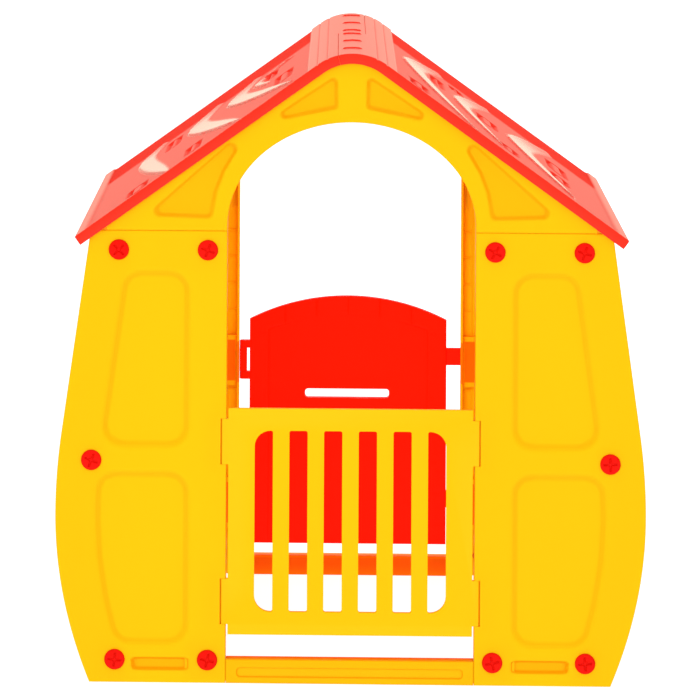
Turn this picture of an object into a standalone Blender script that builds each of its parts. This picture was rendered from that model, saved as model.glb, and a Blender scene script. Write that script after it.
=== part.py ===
"""Plastic playhouse: two gable faces, two side walls with shutters, a gate, a door and a lapped roof.

Metres, +Z up. X runs across the gable faces and Y runs from the gate face (-Y) to the door face (+Y).
The origin is on the ground in the middle of the footprint.
"""
import math

import bmesh
import bpy
from mathutils import Matrix, Vector

# Driving sizes
WIDTH = 1.02
DEPTH = 0.90
HEIGHT = 1.09
WALL = 0.0035
ROOF_SHEET = 0.003
WALL_SKIN = 0.003
GAP = 0.0003

# Faces and outline of the walls
ROOF_OVERHANG = 0.010
FACE_Y = DEPTH / 2 - ROOF_OVERHANG
BELLY_Z = 0.29
LOWER_RADIUS = 0.70
UPPER_RADIUS = 1.0
WALL_SLOPE = 0.14
SEAM_Z = 0.781
RIM = 0.004
RIM_DEPTH = 0.040
OPENING = 0.2145
ARCH_Z = 0.790
ARCH_RISE = 0.180

# Roof
ROOF_ANGLE = math.radians(35.63)
FASCIA = 0.0175
CROWN_RADIUS = 0.1025
EAVE_X = 0.4785
RIDGE_STEP = 0.025
RIDGE_SPAN = math.radians(18)
CROWN_STEPS = 7

# Gables
GABLE_X = 0.423
GABLE_DROP = ROOF_SHEET + GAP
ARCH_STEPS = 16
LEG_X = (OPENING + RIM + GAP, 0.335)
LEG_Z = (0.712, 0.803)
LEDGE_Z = 0.786
LARGE_TRIANGLE = ((0.350, 0.812), (0.237, 0.806), (0.206, 0.938))
LARGE_CORNERS = (0.007, 0.010, 0.006)
SMALL_TRIANGLE = ((0.142, 0.9735), (0.028, 1.047), (0.027, 0.997))
SMALL_CORNERS = (0.003, 0.004, 0.006)

# Panel relief
RECESS = 0.0015
RECESS_RADIUS = 0.026
RECESS_BOW = 0.002
RECESS_BEND = 0.10
RECESS_INSET = 0.0715
RECESS_X = 0.282
UPPER_RECESS = (0.410, 0.709)
LOWER_RECESS = (0.069, 0.362)
BAR_RECESS = (0.0265, 0.0430)
BAR_OUTER_X = 0.375
BAR_CORNER = 0.005

# Receivers in the jambs, shared by the gate, the door brackets and the door stops
RECEIVER_Z = ((0.102, 0.181), (0.378, 0.457))
RECEIVER_X = 0.2245
RECEIVER_DEPTH = 0.0115
RECEIVER_BOX_X = 0.246
RECEIVER_BOX_DEPTH = 0.022
RECEIVER_CHEEK = 0.009

# Gate
GATE_X = 0.211
GATE_Z = (0.0845, 0.475)
GATE_THICK = 0.009
GATE_PIN_X = 0.2175
SLOT_COUNT = 6
SLOT_PITCH = 0.0599
SLOT_WIDTH = 0.0315
SLOT_Z = (0.124, 0.437)
SLOT_CORNER = 0.0035
GATE_CORNER = 0.0275
PIN_RADIUS = 0.0020
PIN_CLEARANCE = 0.0004
PIN_SEAT = 0.006
PIN_SIDES = 8

# Door
DOOR_CENTRE = -0.0035
DOOR_HALF = 0.1908
DOOR_Z = (0.062, 0.4965)
DOOR_RISE = 0.0458
DOOR_THICK = 0.016
DOOR_PIN_X = 0.2066
DOOR_PIN_DEPTH = 0.0085
DOOR_KNUCKLE = 0.0071
DOOR_PIN_RADIUS = 0.003
DOOR_ARM = 0.0145
HINGE_INSET = 0.002
MAIL_SLOT_X = (-0.0865, 0.0765)
MAIL_SLOT_Z = (0.3450, 0.3628)
MAIL_SLOT_CORNER = 0.006
STOP_INSET = (0.031, 0.015)

# Sill
SILL_Z = 0.041
SILL_DEPTH = 0.030
SILL_GROOVE = (0.194, 0.012, 0.026)
SILL_CORNER = 0.003
TONGUE_X = 0.285
TONGUE_Z = (0.004, 0.072)
TONGUE_THICK = 0.004
TONGUE_FRONT = WALL + GAP
TONGUE_BACK = TONGUE_FRONT + TONGUE_THICK

# Side walls and shutters
WALL_FLANGE = 0.074
FLANGE_MARGIN = 0.001
WINDOW_Z = 0.545
WINDOW_HALF = (0.150, 0.125)
SURROUND = 0.028
SURROUND_OUT = 0.0035
SURROUND_IN = -0.0105
SURROUND_CORNER = 0.012
SHUTTER_GAP = 0.002
SHUTTER_HINGE = 0.0070
SHUTTER_IN = -0.0045
SHUTTER_FRAME = 0.022
SHUTTER_CORNER = 0.010

# Bolts
BOLT_SPOTS = ((0.402, 0.748), (0.248, 0.748), (0.448, 0.384), (0.406, 0.040), (0.246, 0.040))
BOLT_HEAD = 0.0177
BOLT_HEAD_HEIGHT = 0.0055
BOLT_EDGE = 0.0020
BOLT_SHANK = 0.006
BOLT_REACH = 0.018

# Base colour, roughness and metallic value of each material
FINISHES = {
    "yellow": ((1.0, 0.60, 0.012), 0.38, 0.0),
    "red": ((0.88, 0.035, 0.012), 0.38, 0.0),
    "steel": ((0.55, 0.56, 0.58), 0.30, 1.0),
}

PARTS = None
CUTTERS = None


def clear_scene():
    for obj in list(bpy.data.objects):
        bpy.data.objects.remove(obj, do_unlink=True)


def new_collection(name):
    collection = bpy.data.collections.new(name)
    bpy.context.scene.collection.children.link(collection)
    return collection


def material(name):
    found = bpy.data.materials.get(name)
    if found:
        return found
    made = bpy.data.materials.new(name)
    made.use_nodes = True
    colour, roughness, metallic = FINISHES[name]
    shader = made.node_tree.nodes["Principled BSDF"]
    shader.inputs["Base Color"].default_value = (*colour, 1.0)
    shader.inputs["Roughness"].default_value = roughness
    shader.inputs["Metallic"].default_value = metallic
    return made


# Solids ---------------------------------------------------------------------------------------------

def finish_mesh(name, mesh, matrix):
    """Weld a closed mesh, turn its faces outward and put it at its place."""
    work = bmesh.new()
    work.from_mesh(mesh)
    bmesh.ops.remove_doubles(work, verts=work.verts, dist=0.00001)
    bmesh.ops.dissolve_limit(work, angle_limit=0.001, verts=work.verts, edges=work.edges)
    bmesh.ops.recalc_face_normals(work, faces=work.faces)
    work.to_mesh(mesh)
    work.free()
    obj = bpy.data.objects.new(name, mesh)
    obj.matrix_world = matrix
    CUTTERS.objects.link(obj)
    obj.hide_render = True
    obj.display_type = "WIRE"
    return obj


def slab(name, loops, half_thickness, matrix):
    """A flat outline, with any inner loops as holes, made solid about the plane of the matrix."""
    curve = bpy.data.curves.new(name + "_outline", "CURVE")
    curve.dimensions = "2D"
    curve.fill_mode = "BOTH"
    curve.extrude = half_thickness
    for loop in loops:
        spline = curve.splines.new("POLY")
        spline.points.add(len(loop) - 1)
        for point, (u, v) in zip(spline.points, loop):
            point.co = (u, v, 0.0, 1.0)
        spline.use_cyclic_u = True
    guide = bpy.data.objects.new(name + "_outline", curve)
    CUTTERS.objects.link(guide)
    graph = bpy.context.evaluated_depsgraph_get()
    mesh = bpy.data.meshes.new_from_object(guide.evaluated_get(graph))
    bpy.data.objects.remove(guide)
    bpy.data.curves.remove(curve)
    mesh.name = name
    return finish_mesh(name, mesh, matrix)


def face_slab(name, loops, face, shallow, deep):
    """A slab in the XZ plane between two depths behind the outer plane of a gable face."""
    middle = face * (FACE_Y - (shallow + deep) / 2)
    matrix = Matrix.Translation((0.0, middle, 0.0)) @ Matrix.Rotation(math.pi / 2, 4, "X")
    return slab(name, loops, (deep - shallow) / 2, matrix)


def cylinders(name, ends, radius, segments=12):
    """One mesh of straight round bars, each given by its two end points."""
    work = bmesh.new()
    for start, end in ends:
        start = Vector(start)
        along = Vector(end) - start
        turn = along.to_track_quat("Z", "X").to_matrix().to_4x4()
        place = Matrix.Translation(start + along / 2) @ turn
        bmesh.ops.create_cone(
            work, cap_ends=True, cap_tris=False, segments=segments,
            radius1=radius, radius2=radius, depth=along.length, matrix=place)
    mesh = bpy.data.meshes.new(name)
    work.to_mesh(mesh)
    work.free()
    return finish_mesh(name, mesh, Matrix.Identity(4))


def combine(target, other, operation):
    step = target.modifiers.new(operation.lower() + "_" + other.name, "BOOLEAN")
    step.operation = operation
    step.solver = "EXACT"
    step.object = other
    return target


def cut(target, cutter):
    return combine(target, cutter, "DIFFERENCE")


def join(target, other):
    return combine(target, other, "UNION")


def as_part(obj, colour, parent=None, smooth=False):
    """Move a finished solid from the cutters to the parts and give it its material."""
    CUTTERS.objects.unlink(obj)
    PARTS.objects.link(obj)
    obj.hide_render = False
    obj.display_type = "SOLID"
    obj.data.materials.append(material(colour))
    if parent:
        place = obj.matrix_world.copy()
        obj.parent = parent
        obj.matrix_parent_inverse = parent.matrix_world.inverted()
        obj.matrix_world = place
    if smooth:
        obj.data.shade_smooth()
        obj.data.set_sharp_from_angle(angle=math.radians(35))
    return obj


def pivot(name, place):
    """An empty on a hinge axis: its Z axis is the axis."""
    empty = bpy.data.objects.new(name, None)
    empty.matrix_world = place
    PARTS.objects.link(empty)
    bpy.context.view_layer.update()
    return empty


# Outlines -------------------------------------------------------------------------------------------

def rectangle(low, high):
    return [(low[0], low[1]), (high[0], low[1]), (high[0], high[1]), (low[0], high[1])]


def circle(centre, radius, segments=12):
    turn = 2 * math.pi / segments
    return [(centre[0] + radius * math.cos(turn * (i + 0.5)),
             centre[1] + radius * math.sin(turn * (i + 0.5))) for i in range(segments)]


def rounded(corners, radii, segments=3):
    """A closed outline whose corners are rounded; radii is one value or one for each corner."""
    if not isinstance(radii, (list, tuple)):
        radii = [radii] * len(corners)
    points = []
    for i, radius in enumerate(radii):
        here = Vector(corners[i])
        before = (Vector(corners[i - 1]) - here).normalized()
        after = (Vector(corners[(i + 1) % len(corners)]) - here).normalized()
        half_angle = before.angle(after) / 2
        reach = radius / math.tan(half_angle)
        centre = here + (before + after).normalized() * (radius / math.sin(half_angle))
        start = here + before * reach - centre
        end = here + after * reach - centre
        sweep = start.angle_signed(end)
        for step in range(segments + 1):
            angle = -sweep * step / segments
            spoke = Vector((start.x * math.cos(angle) - start.y * math.sin(angle),
                            start.x * math.sin(angle) + start.y * math.cos(angle)))
            points.append(tuple(centre + spoke))
    return points


def flip(loop, side):
    return [(side * u, v) for u, v in loop]


def wall_half_width(z):
    """Half width of the house at a height: a belly of two arcs, then a straight lean inward."""
    belly = WIDTH / 2
    if z <= BELLY_Z:
        return belly - (BELLY_Z - z) ** 2 / (2 * LOWER_RADIUS)
    arc_top = BELLY_Z + WALL_SLOPE * UPPER_RADIUS
    bend = min(z, arc_top) - BELLY_Z
    return belly - bend ** 2 / (2 * UPPER_RADIUS) - WALL_SLOPE * max(0.0, z - arc_top)


def wall_heights(low, high, steps=5, closest=0.01):
    """Heights for an outline: even steps up to the belly, two over the bend, and the ends."""
    arc_top = BELLY_Z + WALL_SLOPE * UPPER_RADIUS
    marks = [BELLY_Z * i / steps for i in range(steps + 1)] + [(BELLY_Z + arc_top) / 2, arc_top]
    return [low] + [z for z in marks if low + closest < z < high - closest] + [high]


def wall_edge(low, high, inset):
    return [(wall_half_width(z) - inset, z) for z in wall_heights(low, high)]


def wall_band(low, high, outer, inner):
    """A strip that follows the wall's outline between two insets."""
    return wall_edge(low, high, outer) + wall_edge(low, high, inner)[::-1]


def arch(half_width, rise, segments):
    """Points of the arch from right to left."""
    turn = math.pi / segments
    return [(half_width * math.cos(i * turn), ARCH_Z + rise * math.sin(i * turn))
            for i in range(segments + 1)]


def roof_line(drop, x_end, crown_segments=4):
    """The roof's outline at a depth below its top, from the ridge out to x_end on the right."""
    radius = CROWN_RADIUS - drop
    centre_z = HEIGHT - CROWN_RADIUS
    points = []
    for i in range(crown_segments + 1):
        angle = ROOF_ANGLE * i / crown_segments
        points.append((radius * math.sin(angle), centre_z + radius * math.cos(angle)))
    points.append((x_end, roof_height(x_end, drop)))
    return points


def roof_height(x, drop):
    """Height of the straight slope at x."""
    tangent_x = (CROWN_RADIUS - drop) * math.sin(ROOF_ANGLE)
    tangent_z = HEIGHT - CROWN_RADIUS + (CROWN_RADIUS - drop) * math.cos(ROOF_ANGLE)
    return tangent_z - (x - tangent_x) * math.tan(ROOF_ANGLE)


# Panels ---------------------------------------------------------------------------------------------

def recess_loops():
    """Upper, lower and bar recess of a panel, on its right-hand side."""
    loops = []
    for low, high in (UPPER_RECESS, LOWER_RECESS):
        top = (wall_half_width(high) - RECESS_INSET, high)
        middle_z = (low + high) / 2
        middle = (wall_half_width(middle_z) - RECESS_INSET + RECESS_BOW, middle_z)
        bottom = (wall_half_width(low) - RECESS_INSET, low)
        corners = [(RECESS_X, low), bottom, middle, top, (RECESS_X, high)]
        radii = [RECESS_RADIUS, RECESS_RADIUS, RECESS_BEND, RECESS_RADIUS, RECESS_RADIUS]
        loops.append(rounded(corners, radii))
    bar = rectangle((RECESS_X, BAR_RECESS[0]), (BAR_OUTER_X, BAR_RECESS[1]))
    loops.append(rounded(bar, BAR_CORNER, 1))
    return loops


def receiver_boxes():
    inner = OPENING + RIM / 2
    return [rectangle((inner, low - RECEIVER_CHEEK), (RECEIVER_BOX_X, high + RECEIVER_CHEEK))
            for low, high in RECEIVER_Z]


def receiver_notches():
    inner = OPENING - WALL
    return [rectangle((inner, low), (RECEIVER_X, high)) for low, high in RECEIVER_Z]


def panel(name, face, side):
    """A tray: outer sheet, jamb rim and outer rim, open behind, above and below."""
    outline = [(OPENING, 0.0)] + wall_edge(0.0, SEAM_Z, 0.0) + [(OPENING, SEAM_Z)]
    body = face_slab(name, [flip(outline, side)], face, 0.0, RIM_DEPTH)
    edge = wall_edge(0.0, SEAM_Z, RIM)
    inner = OPENING + RIM
    hollow = [(inner, -WALL), (edge[0][0], -WALL)] + edge + [(edge[-1][0], SEAM_Z + WALL)]
    hollow.append((inner, SEAM_Z + WALL))
    cut(body, face_slab(name + "_hollow", [flip(hollow, side)], face, WALL, RIM_DEPTH + WALL))
    boxes = [flip(loop, side) for loop in receiver_boxes()]
    join(body, face_slab(name + "_receivers", boxes, face, WALL / 2, RECEIVER_BOX_DEPTH))
    notches = [flip(loop, side) for loop in receiver_notches()]
    cut(body, face_slab(name + "_notches", notches, face, -WALL, RECEIVER_DEPTH))
    recesses = [flip(loop, side) for loop in recess_loops()]
    cut(body, face_slab(name + "_recesses", recesses, face, -WALL, RECESS))
    holes = [flip(circle(spot, BOLT_SHANK + GAP), side) for spot in BOLT_SPOTS]
    cut(body, face_slab(name + "_holes", holes, face, -WALL, 2 * WALL))
    passage = rectangle((OPENING - WALL, -WALL), (OPENING + 2 * RIM, SILL_Z + GAP))
    cut(body, face_slab(name + "_passage", [flip(passage, side)], face, WALL, TONGUE_BACK + GAP))
    return body


# Gable ----------------------------------------------------------------------------------------------

def gable_outline():
    foot = SEAM_Z + GAP
    right = roof_line(GABLE_DROP, GABLE_X)
    left = flip(right, -1)[1:]
    opening = [(OPENING, foot)] + arch(OPENING, ARCH_RISE, ARCH_STEPS) + [(-OPENING, foot)]
    return left[::-1] + right + [(GABLE_X, foot)] + opening + [(-GABLE_X, foot)]


def triangle_loops():
    """The four recessed triangles: a large and a small one on each side of the arch."""
    large = rounded(LARGE_TRIANGLE, LARGE_CORNERS)
    small = rounded(SMALL_TRIANGLE, SMALL_CORNERS)
    return [flip(loop, side) for loop in (large, small) for side in (-1, 1)]


def gable(name, face):
    """Arch piece: an outer sheet with a rim round the arch and two bolted legs behind the panels."""
    body = face_slab(name, [gable_outline()], face, 0.0, RIM_DEPTH)
    jamb = OPENING + RIM
    rim_arch = [(jamb, SEAM_Z)] + arch(jamb, ARCH_RISE + RIM, ARCH_STEPS) + [(-jamb, SEAM_Z)]
    hollow = rectangle((-WIDTH, SEAM_Z - WALL), (WIDTH, 2 * HEIGHT))
    cut(body, face_slab(name + "_hollow", [hollow, rim_arch], face, WALL, RIM_DEPTH + WALL))
    legs = [flip(rectangle((LEG_X[0], LEG_Z[0]), (LEG_X[1], LEG_Z[1])), side) for side in (-1, 1)]
    ledge = [flip(rectangle((LEG_X[0], LEDGE_Z), (LEG_X[1] + WALL, LEG_Z[1] + WALL)), side)
             for side in (-1, 1)]
    join(body, face_slab(name + "_ledges", ledge, face, WALL / 2, TONGUE_FRONT + WALL / 2))
    join(body, face_slab(name + "_legs", legs, face, TONGUE_FRONT, TONGUE_BACK))
    cut(body, face_slab(name + "_triangles", triangle_loops(), face, -WALL, RECESS))
    holes = [flip(circle(BOLT_SPOTS[1], BOLT_SHANK + GAP), side) for side in (-1, 1)]
    cut(body, face_slab(name + "_holes", holes, face, 0.0, 2 * TONGUE_BACK))
    return body


# Sill -----------------------------------------------------------------------------------------------

def sill(name, face):
    """Grooved threshold with a tongue that runs behind both panels and is bolted to them."""
    half = OPENING - 2 * GAP
    block = rounded(rectangle((-half, 0.0), (half, SILL_Z)), SILL_CORNER, 1)
    body = face_slab(name, [block], face, 0.0, SILL_DEPTH)
    low, high = TONGUE_Z
    ear = OPENING + RIM + GAP
    top = SILL_Z - GAP
    right = [(TONGUE_X, low), (TONGUE_X, high), (ear, high), (ear, top)]
    tongue = right + flip(right, -1)[::-1]
    join(body, face_slab(name + "_tongue", [tongue], face, TONGUE_FRONT, TONGUE_BACK))
    half_groove, low, high = SILL_GROOVE
    groove = rounded(rectangle((-half_groove, low), (half_groove, high)), SILL_CORNER, 1)
    cut(body, face_slab(name + "_groove", [groove], face, -WALL, RECESS))
    holes = [flip(circle(BOLT_SPOTS[4], BOLT_SHANK + GAP), side) for side in (-1, 1)]
    cut(body, face_slab(name + "_holes", holes, face, 0.0, 2 * TONGUE_BACK))
    return body


# Gate -----------------------------------------------------------------------------------------------

def gate_slots():
    loops = []
    for i in range(SLOT_COUNT):
        x = (i - (SLOT_COUNT - 1) / 2) * SLOT_PITCH
        corners = rectangle((x - SLOT_WIDTH / 2, SLOT_Z[0]), (x + SLOT_WIDTH / 2, SLOT_Z[1]))
        radii = [SLOT_CORNER] * 4
        if i == 0:
            radii[0] = radii[3] = GATE_CORNER
        if i == SLOT_COUNT - 1:
            radii[1] = radii[2] = GATE_CORNER
        loops.append(rounded(corners, radii, 2))
    return loops


def gate_outline():
    """The gate with four tabs; the right-hand tabs only rest in their receivers."""
    root = 3 * GAP
    draft = 5 * GAP
    tab = GATE_PIN_X + GATE_THICK / 2
    right = [(GATE_X, GATE_Z[0])]
    for low, high in RECEIVER_Z:
        right += [(GATE_X, low + root), (tab, low + draft), (tab, high - draft), (GATE_X, high - root)]
    right.append((GATE_X, GATE_Z[1]))
    return right + flip(right, -1)[::-1]


def gate_pin_ends(level, overrun):
    """Ends of a gate pin in the left jamb, past its receiver by an overrun at each end."""
    low, high = RECEIVER_Z[level]
    y = -(FACE_Y - GATE_THICK / 2)
    return (-GATE_PIN_X, y, low - overrun), (-GATE_PIN_X, y, high + overrun)


def gate():
    body = face_slab("front_gate", [gate_outline()], -1, 0.0, GATE_THICK)
    cut(body, face_slab("gate_slots", gate_slots(), -1, -WALL, GATE_THICK + WALL))
    ends = [gate_pin_ends(level, 0.0) for level in (0, 1)]
    return cut(body, cylinders("gate_pin_holes", ends, PIN_RADIUS + PIN_CLEARANCE, PIN_SIDES))


# Door -----------------------------------------------------------------------------------------------

def door_outline(steps=12):
    low, high = DOOR_Z
    radius = (DOOR_HALF ** 2 + DOOR_RISE ** 2) / (2 * DOOR_RISE)
    sweep = math.asin(DOOR_HALF / radius)
    centre_z = high + DOOR_RISE - radius
    top = []
    for i in range(steps + 1):
        angle = sweep * (1 - 2 * i / steps)
        top.append((DOOR_CENTRE + radius * math.sin(angle), centre_z + radius * math.cos(angle)))
    return [(DOOR_CENTRE - DOOR_HALF, low), (DOOR_CENTRE + DOOR_HALF, low)] + top


def plan_slab(name, loops, low, high):
    """A slab seen from above, between two heights."""
    return slab(name, loops, (high - low) / 2, Matrix.Translation((0.0, 0.0, (low + high) / 2)))


def knuckle_outline(x_end, shrink=0.0, segments=8):
    """Plan outline round the door pin, carried straight to x_end on either side of it."""
    y = FACE_Y - DOOR_PIN_DEPTH
    away = -1 if x_end > -DOOR_PIN_X else 1
    points = []
    for i in range(segments + 1):
        angle = math.pi * (i / segments - 0.5)
        points.append((-DOOR_PIN_X + away * DOOR_KNUCKLE * math.cos(angle),
                       y + DOOR_KNUCKLE * math.sin(angle)))
    reach = DOOR_KNUCKLE - shrink
    return points + [(x_end, y + reach), (x_end, y - reach)]


def hinge_levels(level):
    """Heights of a door hinge: bottom, top of the lower arm, foot of the upper arm, top."""
    low, high = RECEIVER_Z[level]
    bottom = low + HINGE_INSET
    top = high - HINGE_INSET
    return bottom, bottom + DOOR_ARM, top - DOOR_ARM, top


def door_pin_ends(level, overrun):
    y = FACE_Y - DOOR_PIN_DEPTH
    levels = hinge_levels(level)
    return (-DOOR_PIN_X, y, levels[0] - overrun), (-DOOR_PIN_X, y, levels[3] + overrun)


def door():
    """Half door with a mail slot, two arms at each hinge and two stop tabs on the free side."""
    slot = rectangle((MAIL_SLOT_X[0], MAIL_SLOT_Z[0]), (MAIL_SLOT_X[1], MAIL_SLOT_Z[1]))
    slot = rounded(slot, MAIL_SLOT_CORNER, 2)
    body = face_slab("back_door", [door_outline()], 1, GAP, DOOR_THICK)
    cut(body, face_slab("mail_slot", [slot], 1, -WALL, DOOR_THICK + WALL))
    for level in (0, 1):
        levels = hinge_levels(level)
        for low, high in (levels[:2], levels[2:]):
            arm = knuckle_outline(DOOR_CENTRE - DOOR_HALF + WALL, 2 * GAP)
            join(body, plan_slab("door_arm", [arm], low, high))
    tab_x = RECEIVER_X - 5 * GAP
    free_edge = DOOR_CENTRE + DOOR_HALF
    tabs = [rectangle((free_edge - WALL, low + STOP_INSET[0]), (tab_x, high - STOP_INSET[1]))
            for low, high in RECEIVER_Z]
    join(body, face_slab("door_stops", tabs, 1, 4 * GAP, RECEIVER_DEPTH - 4 * GAP))
    ends = [door_pin_ends(level, WALL) for level in (0, 1)]
    return cut(body, cylinders("door_pin_holes", ends, DOOR_PIN_RADIUS + GAP))


def door_bracket(name, level):
    """Bracket that fills the left receiver and carries the middle knuckle of one hinge."""
    low, high = RECEIVER_Z[level]
    plug = rectangle((-RECEIVER_X + GAP, low + GAP), (-OPENING, high - GAP))
    body = face_slab(name, [plug], 1, 2 * GAP, RECEIVER_DEPTH - GAP)
    levels = hinge_levels(level)
    knuckle = knuckle_outline(-OPENING + 2 * GAP)
    join(body, plan_slab(name + "_knuckle", [knuckle], levels[1] + GAP, levels[2] - GAP))
    web = rectangle((-RECEIVER_X + 4 * GAP, levels[1] + 3 * GAP), (-DOOR_PIN_X, levels[2] - 3 * GAP))
    join(body, face_slab(name + "_web", [web], 1, 5 * GAP, RECEIVER_DEPTH - 5 * GAP))
    ends = [door_pin_ends(level, WALL)]
    return cut(body, cylinders(name + "_hole", ends, DOOR_PIN_RADIUS + GAP))


# Side walls and shutters ----------------------------------------------------------------------------

def window_frame(side):
    """Matrix of a side window: X along the wall, Y up its slope, Z outward."""
    lean = math.atan(WALL_SLOPE)
    surface = side * (wall_half_width(WINDOW_Z) - RIM - GAP)
    across = Vector((0.0, side, 0.0))
    up = Vector((-side * math.sin(lean), 0.0, math.cos(lean)))
    out = Vector((side * math.cos(lean), 0.0, math.sin(lean)))
    turn = Matrix((across, up, out)).transposed().to_4x4()
    return Matrix.Translation((surface, 0.0, WINDOW_Z)) @ turn


def window_slab(name, loops, side, low, high):
    middle = Matrix.Translation((0.0, 0.0, (low + high) / 2))
    return slab(name, loops, (high - low) / 2, window_frame(side) @ middle)


def shutter_axis(side, end, reach):
    """End points, on the hinge axis of one shutter, at a reach above and below the window's middle."""
    x = side * end * (WINDOW_HALF[0] - SHUTTER_HINGE)
    z = (SHUTTER_IN + SURROUND_OUT) / 2
    frame = window_frame(side)
    return frame @ Vector((x, -reach, z)), frame @ Vector((x, reach, z))


def side_wall(name, side):
    """Curved skin with a flange at each end and a thick surround for the window."""
    skin = wall_band(0.0, SEAM_Z, RIM + GAP, RIM + GAP + WALL_SKIN)
    half = FACE_Y - TONGUE_FRONT - WALL_SKIN / 2
    body = slab(name, [flip(skin, side)], half, Matrix.Rotation(math.pi / 2, 4, "X"))
    flange = wall_band(FLANGE_MARGIN, SEAM_Z - FLANGE_MARGIN, RIM + FLANGE_MARGIN, WALL_FLANGE)
    holes = [flip(circle(BOLT_SPOTS[i], BOLT_SHANK + GAP), side) for i in (0, 2, 3)]
    for face in (-1, 1):
        end = face_slab(name + "_flange", [flip(flange, side)], face, TONGUE_FRONT, TONGUE_BACK)
        join(body, end)
        cut(body, face_slab(name + "_holes", holes, face, 0.0, 2 * TONGUE_BACK))
    wide, tall = WINDOW_HALF
    outer = rectangle((-wide - SURROUND, -tall - SURROUND), (wide + SURROUND, tall + SURROUND))
    outer = rounded(outer, SURROUND_CORNER, 2)
    join(body, window_slab(name + "_surround", [outer], side, SURROUND_IN, SURROUND_OUT))
    opening = rectangle((-wide, -tall), (wide, tall))
    cut(body, window_slab(name + "_opening", [opening], side, -4 * SURROUND, SURROUND))
    ends = [shutter_axis(side, end, tall + PIN_SEAT + GAP) for end in (-1, 1)]
    return cut(body, cylinders(name + "_pin_holes", ends, PIN_RADIUS + PIN_CLEARANCE, PIN_SIDES))


def shutter(name, side, end):
    """One leaf, hinged at its outer edge, with a sunk field on its outer face."""
    wide, tall = WINDOW_HALF
    tall -= SHUTTER_GAP
    hand = side * end
    inner = SHUTTER_GAP / 2
    outer = wide - SHUTTER_GAP
    leaf = rectangle((inner, -tall), (outer, tall))
    body = window_slab(name, [flip(leaf, hand)], side, SHUTTER_IN, SURROUND_OUT)
    field_top = tall - SHUTTER_FRAME
    field = rectangle((inner + SHUTTER_FRAME, -field_top), (outer - SHUTTER_FRAME, field_top))
    field = rounded(field, SHUTTER_CORNER, 2)
    cut(body, window_slab(name + "_field", [flip(field, hand)], side, SURROUND_OUT - RECESS, SURROUND))
    ends = [shutter_axis(side, end, tall + WALL)]
    return cut(body, cylinders(name + "_pin_hole", ends, PIN_RADIUS + PIN_CLEARANCE, PIN_SIDES))


# Roof -----------------------------------------------------------------------------------------------

def roof_profile(drop, end_drop, past_ridge):
    """Line at a depth below the roof's top, from past the ridge, over the crown, down to the eave."""
    radius = CROWN_RADIUS - drop
    centre_z = HEIGHT - CROWN_RADIUS
    points = []
    for i in range(CROWN_STEPS + 1):
        angle = -past_ridge + (ROOF_ANGLE + past_ridge) * i / CROWN_STEPS
        points.append((radius * math.sin(angle), centre_z + radius * math.cos(angle)))
    eave = Vector((EAVE_X, roof_height(EAVE_X, 0.0)))
    down = Vector((-math.sin(ROOF_ANGLE), -math.cos(ROOF_ANGLE)))
    back = Vector((-math.cos(ROOF_ANGLE), math.sin(ROOF_ANGLE)))
    points.append(tuple(eave + down * drop + back * end_drop))
    return points


def roof_half(name, turn):
    """A tray with a fascia round its outer edges; its ridge edge steps over at mid-length."""
    stand = turn @ Matrix.Rotation(math.pi / 2, 4, "X")
    block = roof_profile(0.0, 0.0, RIDGE_SPAN) + roof_profile(FASCIA, 0.0, RIDGE_SPAN)[::-1]
    body = slab(name, [block], DEPTH / 2, stand)
    wide = 1.2 * RIDGE_SPAN
    hollow = roof_profile(ROOF_SHEET, ROOF_SHEET, wide) + roof_profile(2 * FASCIA, ROOF_SHEET, wide)[::-1]
    cut(body, slab(name + "_hollow", [hollow], DEPTH / 2 - ROOF_SHEET, stand))
    near = -RIDGE_STEP + GAP / 2
    far = RIDGE_STEP + GAP / 2
    step = GAP / -2
    ridge = [(-WIDTH, -DEPTH), (near, -DEPTH), (near, step), (far, step), (far, DEPTH), (-WIDTH, DEPTH)]
    place = turn @ Matrix.Translation((0.0, 0.0, HEIGHT))
    return cut(body, slab(name + "_ridge", [ridge], HEIGHT / 4, place))


# Bolts ----------------------------------------------------------------------------------------------

def bolt(name, face, x, z):
    """Domed bolt, turned about its axis, with its head on the outer plane of a gable face."""
    edge = BOLT_HEAD_HEIGHT - BOLT_EDGE * 2
    profile = [(0.0, BOLT_HEAD_HEIGHT), (0.7 * BOLT_HEAD, BOLT_HEAD_HEIGHT - BOLT_EDGE / 2),
               (BOLT_HEAD, edge), (BOLT_HEAD, 0.0), (BOLT_SHANK, 0.0), (BOLT_SHANK, -BOLT_REACH),
               (0.0, -BOLT_REACH)]
    mesh = bpy.data.meshes.new(name)
    edges = [(i, i + 1) for i in range(len(profile) - 1)]
    mesh.from_pydata([(radius, 0.0, height) for radius, height in profile], edges, [])
    obj = bpy.data.objects.new(name, mesh)
    out = Matrix.Rotation(-face * math.pi / 2, 4, "X")
    obj.matrix_world = Matrix.Translation((x, face * (FACE_Y + GAP), z)) @ out
    CUTTERS.objects.link(obj)
    turn = obj.modifiers.new("turn", "SCREW")
    turn.steps = 12
    turn.render_steps = 12
    turn.use_merge_vertices = True
    turn.merge_threshold = 0.00005
    turn.use_smooth_shade = True
    return obj


# Assembly -------------------------------------------------------------------------------------------

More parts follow.
